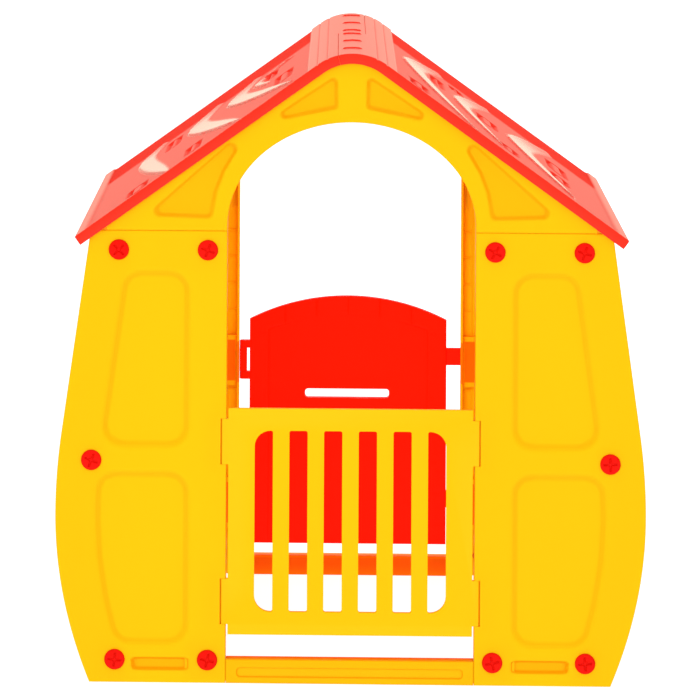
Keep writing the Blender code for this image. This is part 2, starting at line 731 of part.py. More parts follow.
def build_face(prefix, face):
    for hand, side in (("left", -1), ("right", 1)):
        body = panel(prefix + "_" + hand + "_panel", face, side)
        if (face, side) == (-1, -1):
            ends = [gate_pin_ends(level, PIN_SEAT + GAP) for level in (0, 1)]
            cut(body, cylinders("jamb_pin_holes", ends, PIN_RADIUS + PIN_CLEARANCE, PIN_SIDES))
        as_part(body, "yellow")
    as_part(gable(prefix + "_gable", face), "yellow")
    as_part(sill(prefix + "_sill", face), "yellow")
    spots = ("outer_top", "inner_top", "middle", "outer_foot", "inner_foot")
    for hand, side in (("left", -1), ("right", 1)):
        for spot, (x, z) in zip(spots, BOLT_SPOTS):
            name = "_".join(("bolt", prefix, hand, spot))
            as_part(bolt(name, face, side * x, z), "red")


def build_gate():
    foot = gate_pin_ends(0, 0.0)[0]
    hinge = pivot("gate_hinge", Matrix.Translation(foot))
    as_part(gate(), "yellow", hinge)
    for level, word in ((0, "lower"), (1, "upper")):
        ends = [gate_pin_ends(level, PIN_SEAT)]
        as_part(cylinders("gate_pin_" + word, ends, PIN_RADIUS, PIN_SIDES), "steel", smooth=True)


def build_door():
    foot = door_pin_ends(0, 0.0)[0]
    hinge = pivot("door_hinge", Matrix.Translation(foot))
    as_part(door(), "red", hinge)
    for level, word in ((0, "lower"), (1, "upper")):
        as_part(door_bracket("door_bracket_" + word, level), "red")
        ends = [door_pin_ends(level, 0.0)]
        as_part(cylinders("door_pin_" + word, ends, DOOR_PIN_RADIUS), "steel", smooth=True)


def build_side(hand, side):
    as_part(side_wall(hand + "_side_wall", side), "yellow")
    for place, end in (("front", -1), ("back", 1)):
        name = "_".join((hand, place, "shutter"))
        foot = shutter_axis(side, end, 0.0)[0]
        turn = window_frame(side).to_quaternion().to_matrix().to_4x4()
        upright = turn @ Matrix.Rotation(-math.pi / 2, 4, "X")
        hinge = pivot(name + "_hinge", Matrix.Translation(foot) @ upright)
        as_part(shutter(name, side, end), "red", hinge)
        ends = [shutter_axis(side, end, WINDOW_HALF[1] + PIN_SEAT)]
        as_part(cylinders(name + "_pin", ends, PIN_RADIUS, PIN_SIDES), "steel", smooth=True)


def main():
    global PARTS, CUTTERS
    clear_scene()
    PARTS = new_collection("plastic_playhouse")
    CUTTERS = new_collection("cutters")
    build_face("front", -1)
    build_face("back", 1)
    build_gate()
    build_door()
    build_side("left", -1)
    build_side("right", 1)
    as_part(roof_half("roof_right", Matrix.Identity(4)), "red")
    as_part(roof_half("roof_left", Matrix.Rotation(math.pi, 4, "Z")), "red")
    bpy.context.view_layer.update()


main()
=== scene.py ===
"""Looks of the plastic playhouse: fine moulded shells, materials, light and camera around the CAD frame."""
import math

import bmesh
import bpy
import numpy as np
from mathutils import Matrix, Vector


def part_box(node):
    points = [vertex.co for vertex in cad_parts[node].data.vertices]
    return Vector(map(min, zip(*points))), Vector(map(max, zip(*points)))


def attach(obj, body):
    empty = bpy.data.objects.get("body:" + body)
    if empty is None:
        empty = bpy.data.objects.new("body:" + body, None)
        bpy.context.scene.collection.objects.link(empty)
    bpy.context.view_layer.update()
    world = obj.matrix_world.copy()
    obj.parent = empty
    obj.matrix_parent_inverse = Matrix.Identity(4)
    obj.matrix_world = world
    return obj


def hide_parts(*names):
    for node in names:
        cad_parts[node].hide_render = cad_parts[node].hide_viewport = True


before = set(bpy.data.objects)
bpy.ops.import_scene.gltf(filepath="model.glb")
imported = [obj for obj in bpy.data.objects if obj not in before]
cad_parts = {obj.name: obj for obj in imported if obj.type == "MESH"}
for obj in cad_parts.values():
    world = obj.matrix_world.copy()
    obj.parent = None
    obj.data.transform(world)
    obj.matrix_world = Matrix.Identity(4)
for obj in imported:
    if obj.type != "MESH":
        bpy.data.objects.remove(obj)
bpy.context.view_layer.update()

# Sizes read from the frame --------------------------------------------------------------------------

PANEL_LOW, PANEL_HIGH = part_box("front_right_panel")
GATE_LOW, GATE_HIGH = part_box("front_gate")
DOOR_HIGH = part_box("back_door")[1]
GABLE_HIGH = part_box("front_gable")[1]
ROOF_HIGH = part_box("roof_right")[1]
SILL_LOW, SILL_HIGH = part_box("front_sill")
BOLT_LOW, BOLT_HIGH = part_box("bolt_front_left_middle")

FACE_Y = -PANEL_LOW.y
OPENING = PANEL_LOW.x
SEAM_Z = PANEL_HIGH.z
HALF_WIDTH = PANEL_HIGH.x
RIM_DEPTH = PANEL_HIGH.y - PANEL_LOW.y
HEIGHT = ROOF_HIGH.z
HALF_DEPTH = ROOF_HIGH.y
EAVE_X = ROOF_HIGH.x

# Shape of the walls, as in the CAD ------------------------------------------------------------------

GAP = 0.0003
WALL = 0.0035
RIM = 0.004
BELLY_Z = 0.29
LOWER_RADIUS = 0.70
UPPER_RADIUS = 1.0
WALL_SLOPE = 0.14
EDGE = 0.0022

ARCH_Z = 0.790
ARCH_RISE = 0.180
RECEIVER_Z = ((0.102, 0.181), (0.378, 0.457))
RECEIVER_X = 0.2245
RECEIVER_DEPTH = 0.0115
POCKET_X = 0.246
POCKET_DEPTH = 0.022
POCKET_CHEEK = 0.009

ROOF_ANGLE = math.radians(35.63)
FASCIA = 0.0175
CROWN_RADIUS = 0.1025
ROOF_SHEET = 0.003
RIDGE_STEP = 0.025


def wall_half_width(z):
    """Half width of the house at a height: a belly of two shallow curves, then a straight lean inward."""
    arc_top = BELLY_Z + WALL_SLOPE * UPPER_RADIUS
    below = np.minimum(z - BELLY_Z, 0.0)
    bend = np.clip(z, BELLY_Z, arc_top) - BELLY_Z
    lean = WALL_SLOPE * np.maximum(0.0, z - arc_top)
    return HALF_WIDTH - below ** 2 / (2 * LOWER_RADIUS) - bend ** 2 / (2 * UPPER_RADIUS) - lean


# Mesh tools -----------------------------------------------------------------------------------------

def smooth_step(low, high, value):
    t = np.clip((value - low) / (high - low), 0.0, 1.0)
    return t * t * (3 - 2 * t)


def lines(low, high, step, extra=(), edges=True):
    """Sorted grid lines: even steps, close lines for rounded ends, and lines at chosen places."""
    count = max(2, int(round((high - low) / step)) + 1)
    marks = list(np.linspace(low, high, count))
    if edges:
        for t in (0.12, 0.35, 0.65, 1.0):
            marks += [low + EDGE * t, high - EDGE * t]
    marks += [x for x in extra if low < x < high]
    marks = sorted(marks)
    kept = [marks[0]]
    for x in marks[1:]:
        if x - kept[-1] > 0.00008:
            kept.append(x)
    return np.array(kept)


def steps_at(*places):
    """A pair of lines close to each place, for a sharp step there."""
    return [x + d for x in places for d in (-0.0001, 0.0001)]


def grooves_at(width, *places):
    return [x + d * width for x in places for d in (-0.5, -0.25, 0.0, 0.25, 0.5)]


def edge_round(distance):
    """How far a surface drops near its edge, for a quarter-round corner."""
    d = np.clip(distance, 0.0, EDGE)
    return EDGE - np.sqrt(np.maximum(EDGE ** 2 - (EDGE - d) ** 2, 0.0))


def inset_polygon(corners, amount):
    """Moves every edge of a convex polygon inward."""
    count = len(corners)
    points = [Vector(c) for c in corners]
    area = sum(points[i].x * points[(i + 1) % count].y - points[(i + 1) % count].x * points[i].y
               for i in range(count))
    turn = 1 if area > 0 else -1
    moved = []
    for i in range(count):
        a = (points[i] - points[i - 1]).normalized()
        b = (points[(i + 1) % count] - points[i]).normalized()
        na = Vector((-a.y, a.x)) * turn
        nb = Vector((-b.y, b.x)) * turn
        moved.append(points[i] + (na + nb) * amount / (1 + na.dot(nb)))
    return moved


def polygon_distance(x, y, corners):
    """Signed distance to a polygon, negative inside."""
    best = np.full(np.shape(x), np.inf)
    inside = np.zeros(np.shape(x), bool)
    for i, end in enumerate(corners):
        start = corners[i - 1]
        ex = end[0] - start[0]
        ey = end[1] - start[1]
        px = x - start[0]
        py = y - start[1]
        t = np.clip((px * ex + py * ey) / (ex * ex + ey * ey), 0.0, 1.0)
        best = np.minimum(best, (px - ex * t) ** 2 + (py - ey * t) ** 2)
        crosses = (start[1] > y) != (end[1] > y)
        if ey:
            inside ^= crosses & (px < ex * py / ey)
    distance = np.sqrt(best)
    return np.where(inside, -distance, distance)


def rounded_distance(x, y, corners, radius):
    return polygon_distance(x, y, inset_polygon(corners, radius)) - radius


def link(obj):
    bpy.context.scene.collection.objects.link(obj)
    return obj


def mesh_object(name, points, faces):
    mesh = bpy.data.meshes.new(name)
    mesh.from_pydata(points, [], faces)
    mesh.validate()
    return link(bpy.data.objects.new(name, mesh))


def shell(name, outer, inner, sharp=40):
    """One closed solid between an outer and an inner grid of points of the same shape."""
    rows, columns = outer.shape[:2]
    points = np.concatenate([outer.reshape(-1, 3), inner.reshape(-1, 3)])
    index = np.arange(rows * columns).reshape(rows, columns)
    back = index + rows * columns
    a, b, c, d = index[:-1, :-1], index[:-1, 1:], index[1:, 1:], index[1:, :-1]
    faces = [np.stack([a, b, c, d], -1).reshape(-1, 4)]
    faces.append(np.stack([d, c, b, a], -1).reshape(-1, 4) + rows * columns)
    for front, rear in ((index[0], back[0]), (index[-1][::-1], back[-1][::-1]),
                        (index[:, -1], back[:, -1]), (index[:, 0][::-1], back[:, 0][::-1])):
        faces.append(np.stack([front[1:], front[:-1], rear[:-1], rear[1:]], -1))
    obj = mesh_object(name, points.tolist(), np.concatenate(faces).tolist())
    tidy = bmesh.new()
    tidy.from_mesh(obj.data)
    bmesh.ops.remove_doubles(tidy, verts=tidy.verts, dist=0.000002)
    bmesh.ops.recalc_face_normals(tidy, faces=tidy.faces)
    tidy.to_mesh(obj.data)
    tidy.free()
    smooth(obj, sharp)
    return obj


def smooth(obj, sharp=40):
    obj.data.shade_smooth()
    obj.data.set_sharp_from_angle(angle=math.radians(sharp))
    return obj


def paint(obj, name, values_at):
    """Stores a value at every point of a piece, worked out from its place, for its material to read."""
    at = np.empty(len(obj.data.vertices) * 3)
    obj.data.vertices.foreach_get("co", at)
    values = values_at(at.reshape(-1, 3))
    made = obj.data.attributes.new(name, "FLOAT", "POINT")
    made.data.foreach_set("value", values.astype(np.float32))


def mirrored(obj, name, axis):
    """A mirrored copy of a piece, across the X or Y plane."""
    copy = link(bpy.data.objects.new(name, obj.data.copy()))
    scale = [1.0, 1.0, 1.0]
    scale[axis] = -1.0
    copy.data.transform(Matrix.Diagonal((*scale, 1.0)))
    copy.data.flip_normals()
    return copy


def place(piece, body, slot, *nodes):
    """Hands a finished piece to the frame: what it rides on, and the CAD nodes it stands for, which it
    hides; slot is not used.
    """
    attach(piece, body)
    if nodes:
        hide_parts(*nodes)
    return piece


def apply_modifiers(obj):
    graph = bpy.context.evaluated_depsgraph_get()
    mesh = bpy.data.meshes.new_from_object(obj.evaluated_get(graph))
    obj.modifiers.clear()
    old = obj.data
    obj.data = mesh
    bpy.data.meshes.remove(old)
    return obj


def boolean(obj, other, operation):
    step = obj.modifiers.new(operation, "BOOLEAN")
    step.operation = operation
    step.solver = "EXACT"
    step.object = other
    apply_modifiers(obj)
    bpy.data.objects.remove(other)
    return obj


def slab(name, loops, half, matrix, bevel=0.0, segments=3):
    """A flat outline made solid about the plane of a matrix, with rounded edges."""
    curve = bpy.data.curves.new(name, "CURVE")
    curve.dimensions = "2D"
    curve.fill_mode = "BOTH"
    curve.extrude = half
    for loop in loops:
        spline = curve.splines.new("POLY")
        spline.points.add(len(loop) - 1)
        for point, (u, v) in zip(spline.points, loop):
            point.co = (u, v, 0.0, 1.0)
        spline.use_cyclic_u = True
    guide = link(bpy.data.objects.new(name + "_guide", curve))
    graph = bpy.context.evaluated_depsgraph_get()
    mesh = bpy.data.meshes.new_from_object(guide.evaluated_get(graph))
    bpy.data.objects.remove(guide)
    bpy.data.curves.remove(curve)
    work = bmesh.new()
    work.from_mesh(mesh)
    bmesh.ops.remove_doubles(work, verts=work.verts, dist=0.00001)
    bmesh.ops.dissolve_limit(work, angle_limit=0.001, verts=work.verts, edges=work.edges)
    bmesh.ops.recalc_face_normals(work, faces=work.faces)
    work.transform(matrix)
    if work.calc_volume(signed=True) < 0:
        bmesh.ops.reverse_faces(work, faces=work.faces)
    work.to_mesh(mesh)
    work.free()
    obj = link(bpy.data.objects.new(name, mesh))
    if bevel:
        step = obj.modifiers.new("edges", "BEVEL")
        step.width = bevel
        step.segments = segments
        step.limit_method = "ANGLE"
        step.angle_limit = math.radians(50)
        step.harden_normals = True
        obj.data.shade_smooth()
        apply_modifiers(obj)
    return obj


def face_slab(name, loops, face, shallow, deep, bevel=0.0):
    """A slab in the XZ plane between two depths behind the outer plane of a gable face."""
    middle = face * (FACE_Y - (shallow + deep) / 2)
    matrix = Matrix.Translation((0.0, middle, 0.0)) @ Matrix.Rotation(math.pi / 2, 4, "X")
    return slab(name, loops, (deep - shallow) / 2, matrix, bevel)


def rectangle(low, high):
    return [(low[0], low[1]), (high[0], low[1]), (high[0], high[1]), (low[0], high[1])]


def flip(loop, side):
    return [(side * u, v) for u, v in loop]


def rounded(corners, radii, segments=7):
    """A closed outline whose corners are rounded; radii is one value or one for each corner."""
    if not isinstance(radii, (list, tuple)):
        radii = [radii] * len(corners)
    points = []
    for i, radius in enumerate(radii):
        here = Vector(corners[i])
        before = (Vector(corners[i - 1]) - here).normalized()
        after = (Vector(corners[(i + 1) % len(corners)]) - here).normalized()
        half_angle = before.angle(after) / 2
        reach = radius / math.tan(half_angle)
        centre = here + (before + after).normalized() * (radius / math.sin(half_angle))
        start = here + before * reach - centre
        end = here + after * reach - centre
        sweep = start.angle_signed(end)
        for step in range(segments + 1):
            angle = -sweep * step / segments
            spoke = Vector((start.x * math.cos(angle) - start.y * math.sin(angle),
                            start.x * math.sin(angle) + start.y * math.cos(angle)))
            points.append(tuple(centre + spoke))
    return points


# Wall panels ----------------------------------------------------------------------------------------

RECESS_DEPTH = 0.0050
RECESS_SOFT = 0.0095
RECESS_RADIUS = 0.033
# Painted shade along the edges of the big recesses: its width and strength
RING_WIDTH = 0.0050
RECESS_RING_SHADE = 0.30
RECESS_X = 0.282
RECESS_INSET = 0.0715
UPPER_RECESS = (0.410, 0.709)
LOWER_RECESS = (0.069, 0.362)
BAR_RECESS = (0.2805, 0.3755, 0.0235, 0.0420)
BAR_CORNER = 0.006
BAR_DEPTH = 0.0080
BAR_SOFT = 0.0045
# Painted shade along the edge of the bar, and on the sunk floors of the bar and the gable triangles
BAR_RING_SHADE = 0.9
RECESS_FLOOR_SHADE = 0.30
# Strength of the red light painted where red parts sit behind thin yellow walls, and on the sills' shaded
# inner sides
PAINTED_RED_LIGHT_AMOUNT = 0.85

# A strip with its own close grid lines: its width, and where the even lines take over
PANEL_STRIP = (0.088, 0.0859)
GABLE_STRIP = (0.034, 0.0315)

BRICK_PITCH = 0.0514
BRICK_DATUM = 0.5655
BRICK_BAND = 0.0225
GROOVE_WIDTH = 0.0032
GROOVE_DEPTH = 0.0016


def sink(distance, depth, soft):
    """Depth of a soft-edged recess from the signed distance to its outline."""
    return depth * smooth_step(-soft / 2, soft / 2, -distance)


def groove(offset, width=GROOVE_WIDTH, depth=GROOVE_DEPTH):
    """A rounded groove along the line where offset is zero."""
    t = np.clip(np.abs(offset) / (width / 2), 0.0, 1.0)
    return depth * (1 - t * t) ** 2


def recess_corners(low, high):
    """Outline of a tall recess: its outer edge follows the wall."""
    heights = np.linspace(low, high, 5)
    edge = [(float(wall_half_width(z)) - RECESS_INSET, float(z)) for z in heights]
    return [(RECESS_X, low)] + edge + [(RECESS_X, high)]


def bar_distance(x, z):
    inner, outer, low, high = BAR_RECESS
    return rounded_distance(x, z, rectangle((inner, low), (outer, high)), BAR_CORNER)


def recess_relief(x, z):
    depth = np.zeros(np.shape(x))
    for low, high in (UPPER_RECESS, LOWER_RECESS):
        distance = rounded_distance(x, z, recess_corners(low, high), RECESS_RADIUS)
        depth = np.maximum(depth, sink(distance, RECESS_DEPTH, RECESS_SOFT))
    return np.maximum(depth, sink(bar_distance(x, z), BAR_DEPTH, BAR_SOFT))


def ring(distance, width, amount):
    """Painted shade: a soft darker line along the edge of a recess."""
    return amount * (1 - smooth_step(0.0, width, np.abs(distance)))


def panel_painted_shade(x, z):
    """Painted shade on a panel: darker along the edges of its recesses and in the bar near its foot."""
    shade = np.zeros(np.shape(x))
    for low, high in (UPPER_RECESS, LOWER_RECESS):
        distance = rounded_distance(x, z, recess_corners(low, high), RECESS_RADIUS)
        shade = np.maximum(shade, ring(distance, RING_WIDTH, RECESS_RING_SHADE))
    distance = bar_distance(x, z)
    shade = np.maximum(shade, ring(distance, BAR_SOFT, BAR_RING_SHADE))
    return np.maximum(shade, RECESS_FLOOR_SHADE * smooth_step(0.0, BAR_SOFT, -distance))


def brick_levels():
    first = BRICK_DATUM - BRICK_PITCH * int(BRICK_DATUM / BRICK_PITCH)
    return np.arange(first, SEAM_Z, BRICK_PITCH)


def brick_relief(x, z):
    """Grooves of the brick band beside the doorway."""
    depth = groove(x - (OPENING + BRICK_BAND))
    band = 1 - smooth_step(OPENING + BRICK_BAND - GROOVE_WIDTH / 4, OPENING + BRICK_BAND, x)
    for level in brick_levels():
        depth = np.maximum(depth, groove(z - level) * band)
    return depth


def panel_columns():
    """Across a panel: distances from the jamb, a free middle, and distances from the outer edge."""
    near_marks = steps_at(RECEIVER_X - OPENING, POCKET_X - OPENING)
    near_marks += grooves_at(GROOVE_WIDTH, BRICK_BAND)
    width, end = PANEL_STRIP
    near = lines(0.0, width, 0.004, near_marks)
    near = near[near < end]
    far = lines(0.0, width, 0.004)
    far = far[far < end][::-1]
    middle = np.linspace(0.0, 1.0, 19)[1:-1]
    return near, middle, far


def panel(name, face, side, bricks):
    """Moulded tray: an outer sheet with recesses, a jamb rim, an outer rim and two tab receivers."""
    low_pocket = [z - POCKET_CHEEK for z, _ in RECEIVER_Z]
    high_pocket = [z + POCKET_CHEEK for _, z in RECEIVER_Z]
    marks = steps_at(*[z for pair in RECEIVER_Z for z in pair], *low_pocket, *high_pocket)
    if bricks:
        marks += grooves_at(GROOVE_WIDTH, *brick_levels())
    marks += list(np.arange(BAR_RECESS[2] - BAR_SOFT, BAR_RECESS[3] + BAR_SOFT, 0.0012))
    z = lines(0.0, SEAM_Z, 0.0042, marks)[:, None]
    near, middle, far = panel_columns()
    edge = wall_half_width(z)
    x_near = OPENING + near[None, :] + 0 * z
    x_far = edge - far[None, :]
    x_middle = x_near[:, -1:] + (x_far[:, :1] - x_near[:, -1:]) * middle[None, :]
    x = np.concatenate([x_near, x_middle, x_far], 1)
    zz = z + 0 * x

    def in_receiver(margin, reach):
        hit = np.zeros(x.shape, bool)
        for low, high in RECEIVER_Z:
            hit |= (zz > low - margin) & (zz < high + margin) & (x < reach)
        return hit

    relief = recess_relief(x, zz)
    if bricks:
        relief = np.maximum(relief, brick_relief(x, zz))
    nearest = np.minimum.reduce([x - OPENING, edge - x, zz, SEAM_Z - zz])
    depth = np.maximum(relief, edge_round(nearest))
    depth = np.where(in_receiver(0.0, RECEIVER_X), RECEIVER_DEPTH, depth)
    back = np.where(in_receiver(POCKET_CHEEK, POCKET_X), POCKET_DEPTH, WALL + relief)

    def rims(x_inner, depth_inner, x_outer, depth_outer, x_row, depth_row):
        """Adds the two rims' own columns to the rows of a sheet."""
        xs = np.concatenate([x_inner, x_row, x_outer], 1)
        depths = np.concatenate([depth_inner, depth_row, depth_outer], 1)
        return xs, depths

    ones = np.ones_like(z)
    rim_depths = np.array([[RIM_DEPTH, RIM_DEPTH - 0.001]])
    rim_x = np.array([[0.0008, 0.0]])
    outer_x, outer_d = rims(OPENING + ones * rim_x, ones * rim_depths,
                            edge - rim_x[:, ::-1], ones * rim_depths[:, ::-1], x, depth)
    inside_x = np.clip(x, OPENING + RIM, edge - RIM)
    inside_d = back.copy()
    jamb = (near < RIM).sum()
    lip = (far < RIM).sum()
    fall = np.linspace(0.0, 1.0, jamb + 2)[None, 2:][:, :jamb]
    base = back[:, jamb:jamb + 1]
    inside_d[:, :jamb] = RIM_DEPTH - 0.002 + (base - RIM_DEPTH + 0.002) * fall * 0.98
    fall = np.linspace(1.0, 0.0, lip + 2)[None, :-2][:, -lip:]
    inside_d[:, -lip:] = RIM_DEPTH - 0.002 + (WALL - RIM_DEPTH + 0.002) * fall * 0.98
    inner_x, inner_d = rims(OPENING + RIM - ones * rim_x, ones * rim_depths,
                            edge - RIM + rim_x[:, ::-1], ones * rim_depths[:, ::-1], inside_x, inside_d)
    zcol = z + 0 * outer_x
    outer = np.stack([side * outer_x, face * (FACE_Y - outer_d), zcol], -1)
    inner = np.stack([side * inner_x, face * (FACE_Y - inner_d), zcol], -1)
    return shell(name, outer, inner)


def pocket_painted_red_light(at):
    """Where the thin inner wall of a tab pocket has a red bracket or stop right behind it; there red light
    through the sheet is painted on.
    """
    x, y, z = at.T
    beside = np.zeros(len(at), bool)
    for low, high in RECEIVER_Z:
        beside |= (z > low) & (z < high)
    return PAINTED_RED_LIGHT_AMOUNT * (beside & (x < POCKET_X) & (y < FACE_Y - RECEIVER_DEPTH - WALL))


def build_panels():
    for prefix, face, bricks in (("front", -1, False), ("back", 1, True)):
        right = panel(prefix + "_right_panel_shell", face, 1, bricks)
        # Painted shade on the recesses and the bar
        paint(right, "painted_shade", lambda at: panel_painted_shade(at[:, 0], at[:, 2]))
        if prefix == "back":
            # Painted red light inside the back tab pockets
            paint(right, "painted_red_light", pocket_painted_red_light)
        left = mirrored(right, prefix + "_left_panel_shell", 0)
        for hand, piece in (("right", right), ("left", left)):
            finish(piece, "yellow")
            place(piece, "house", "yellow_plastic", prefix + "_" + hand + "_panel")


# Gables ---------------------------------------------------------------------------------------------

GABLE_X = GABLE_HIGH.x
GABLE_FOOT = SEAM_Z + GAP
LARGE_TRIANGLE = [(0.352, 0.8085), (0.2430, 0.8050), (0.2350, 0.850), (0.2215, 0.885), (0.1990, 0.923),
                  (0.2080, 0.936)]
SMALL_TRIANGLE = [(0.1440, 0.9720), (0.0275, 1.0500), (0.0265, 0.9955)]
TRIANGLE_CORNERS = (0.0085, 0.0060)
ARCH_LENGTH = 0.31
TRIANGLE_DEPTH = 0.0060
TRIANGLE_SOFT = 0.0065
# Painted shade along the edges of the sunk triangles: its width and strength
TRIANGLE_SHADE_RING = (0.0055, 0.55)


def roof_line(drop):
    """Outer edge of the gable, half of it, from the ridge to the foot."""
    radius = CROWN_RADIUS - drop
    centre_z = HEIGHT - CROWN_RADIUS
    angles = np.linspace(0.0, ROOF_ANGLE, 12)
    points = [(radius * math.sin(a), centre_z + radius * math.cos(a)) for a in angles]
    x, z = points[-1]
    points.append((GABLE_X, z - (GABLE_X - x) * math.tan(ROOF_ANGLE)))
    points.append((GABLE_X, GABLE_FOOT))
    return points


def walk(points, fractions):
    """Points at fractions of the way along a polyline."""
    points = np.array(points, float)
    lengths = np.concatenate([[0.0], np.cumsum(np.linalg.norm(np.diff(points, axis=0), axis=1))])
    at = np.asarray(fractions) * lengths[-1]
    return np.stack([np.interp(at, lengths, points[:, k]) for k in (0, 1)], -1)


def arch_outline(half_width, rise, count=160):
    angles = np.linspace(0.0, math.pi / 2, count)
    arc = [(half_width * math.cos(a), ARCH_Z + rise * math.sin(a)) for a in angles]
    return [(half_width, GABLE_FOOT)] + arc


def triangle_distance(x, z):
    """Distance to the nearer of the two sunk triangles on one side of the arch."""
    large = rounded_distance(x, z, LARGE_TRIANGLE, TRIANGLE_CORNERS[0])
    small = rounded_distance(x, z, SMALL_TRIANGLE, TRIANGLE_CORNERS[1])
    return np.minimum(large, small)


# Painted shade on a gable: darker floors and edges of the sunk triangles
def gable_painted_shade(x, z):
    distance = triangle_distance(x, z)
    return np.maximum(sink(distance, RECESS_FLOOR_SHADE, TRIANGLE_SOFT), ring(distance, *TRIANGLE_SHADE_RING))


def gable(name, face, bricks):
    """Half of the arch piece on the right, then its mirror: one closed shell over the doorway."""
    joints = np.arange(BRICK_PITCH * 0.5, ARCH_LENGTH, BRICK_PITCH) / ARCH_LENGTH if bricks else []
    marks = grooves_at(GROOVE_WIDTH / ARCH_LENGTH, *joints)
    foot_marks = [EDGE * t / ARCH_LENGTH for t in (0.15, 0.4, 0.7, 1.0)]
    along = lines(0.0, 1.0, 0.0062, list(marks) + foot_marks, False)
    inner_edge = walk(arch_outline(OPENING, ARCH_RISE), along)
    outer_edge = walk(roof_line(ROOF_SHEET + GAP)[::-1], along)
    reach = np.linalg.norm(outer_edge - inner_edge, axis=1)[:, None]
    width, end = GABLE_STRIP
    near = lines(0.0, width, 0.0035, grooves_at(GROOVE_WIDTH, BRICK_BAND))
    near = near[near < end]
    rest = np.linspace(0.0, 1.0, 62)[1:]
    direction = (outer_edge - inner_edge) / reach
    across = np.concatenate([near + 0 * reach, near[-1] + (reach - near[-1]) * rest[None, :]], 1)
    x = inner_edge[:, :1] + direction[:, :1] * across
    z = inner_edge[:, 1:] + direction[:, 1:] * across
    relief = sink(triangle_distance(x, z), TRIANGLE_DEPTH, TRIANGLE_SOFT)
    if bricks:
        band = 1 - smooth_step(BRICK_BAND - GROOVE_WIDTH / 4, BRICK_BAND, across)
        relief = np.maximum(relief, groove(across - BRICK_BAND))
        for joint in joints:
            relief = np.maximum(relief, groove((along[:, None] - joint) * ARCH_LENGTH) * band)
    depth = np.maximum(relief, edge_round(np.minimum(across, z - GABLE_FOOT)))
    back = WALL + relief
    xr = np.concatenate([x[:, :1], x], 1)
    zr = np.concatenate([z[:, :1], z], 1)
    outer_d = np.concatenate([np.full((len(along), 1), RIM_DEPTH), depth], 1)
    rim = (near < RIM).sum()
    fall = np.linspace(0.0, 1.0, rim + 1)[None, 1:]
    lifted = walk(arch_outline(OPENING + RIM, ARCH_RISE + RIM), along)
    xi, zi, inner_d = x.copy(), z.copy(), back.copy()
    for k in range(rim):
        xi[:, k] = lifted[:, 0]
        zi[:, k] = lifted[:, 1]
        inner_d[:, k] = RIM_DEPTH + (WALL - RIM_DEPTH) * fall[0, k] * 0.98
    xi = np.concatenate([lifted[:, :1], xi], 1)
    zi = np.concatenate([lifted[:, 1:], zi], 1)
    inner_d = np.concatenate([np.full((len(along), 1), RIM_DEPTH), inner_d], 1)

    def both_sides(xs, zs, depths):
        right = np.stack([xs, face * (FACE_Y - depths), zs], -1)
        left = right[:-1][::-1].copy()
        left[..., 0] *= -1
        return np.concatenate([right, left])

    return shell(name, both_sides(xr, zr, outer_d), both_sides(xi, zi, inner_d))


LEG_X = (0.2188, 0.335)
LEG_Z = (0.712, 0.803)
LEG_CORNER = 0.006
TONGUE = (WALL + GAP, WALL + GAP + 0.004)


def build_gables():
    for prefix, face, bricks in (("front", -1, False), ("back", 1, True)):
        piece = finish(gable(prefix + "_gable_shell", face, bricks), "yellow")
        # Painted shade on the sunk triangles
        paint(piece, "painted_shade", lambda at: gable_painted_shade(np.abs(at[:, 0]), at[:, 2]))
        place(piece, "house", "yellow_plastic", prefix + "_gable")
        for hand, side in (("left", -1), ("right", 1)):
            outline = rounded(rectangle(*zip(LEG_X, LEG_Z)), LEG_CORNER)
            leg = face_slab(prefix + "_" + hand + "_gable_leg", [flip(outline, side)], face, *TONGUE, 0.001)
            place(finish(leg, "yellow"), "house", "yellow_plastic")


# Sills ----------------------------------------------------------------------------------------------

SILL_TOP = 0.041
SILL_DEPTH = 0.030
SILL_BAR = (-0.194, 0.012, 0.194, 0.026)
SILL_BAR_CORNER = 0.005
SILL_BAR_DEPTH = 0.0070
SILL_BAR_SOFT = 0.0035
# Painted shade on the sill: its sunk bar, the whole sill a little, and a painted shadow along its foot
SILL_BAR_SHADE = 0.85
SILL_SHADE = 0.25
SILL_FOOT_SHADE_HEIGHT = 0.003
TONGUE_X = SILL_HIGH.x
TONGUE_Z = (SILL_LOW.z + 0.004, SILL_HIGH.z)


def near_lines(place, reach=0.006, step=0.0015):
    return list(np.arange(place - reach, place + reach, step))


def sill_bar_distance(x, z):
    left, low, right, high = SILL_BAR
    return rounded_distance(x, z, rectangle((left, low), (right, high)), SILL_BAR_CORNER)


# Painted shade: the sunk bar and its edge darker, the whole sill a little darker, and a painted shadow where
# it meets the floor
def sill_painted_shade(x, z):
    distance = sill_bar_distance(x, z)
    bar = SILL_BAR_SHADE * smooth_step(0.0, SILL_BAR_SOFT, -distance)
    bar = np.maximum(bar, ring(distance, SILL_BAR_SOFT, 1.0))
    return np.maximum(bar, np.maximum(SILL_SHADE, 1 - smooth_step(0.0, SILL_FOOT_SHADE_HEIGHT, z)))


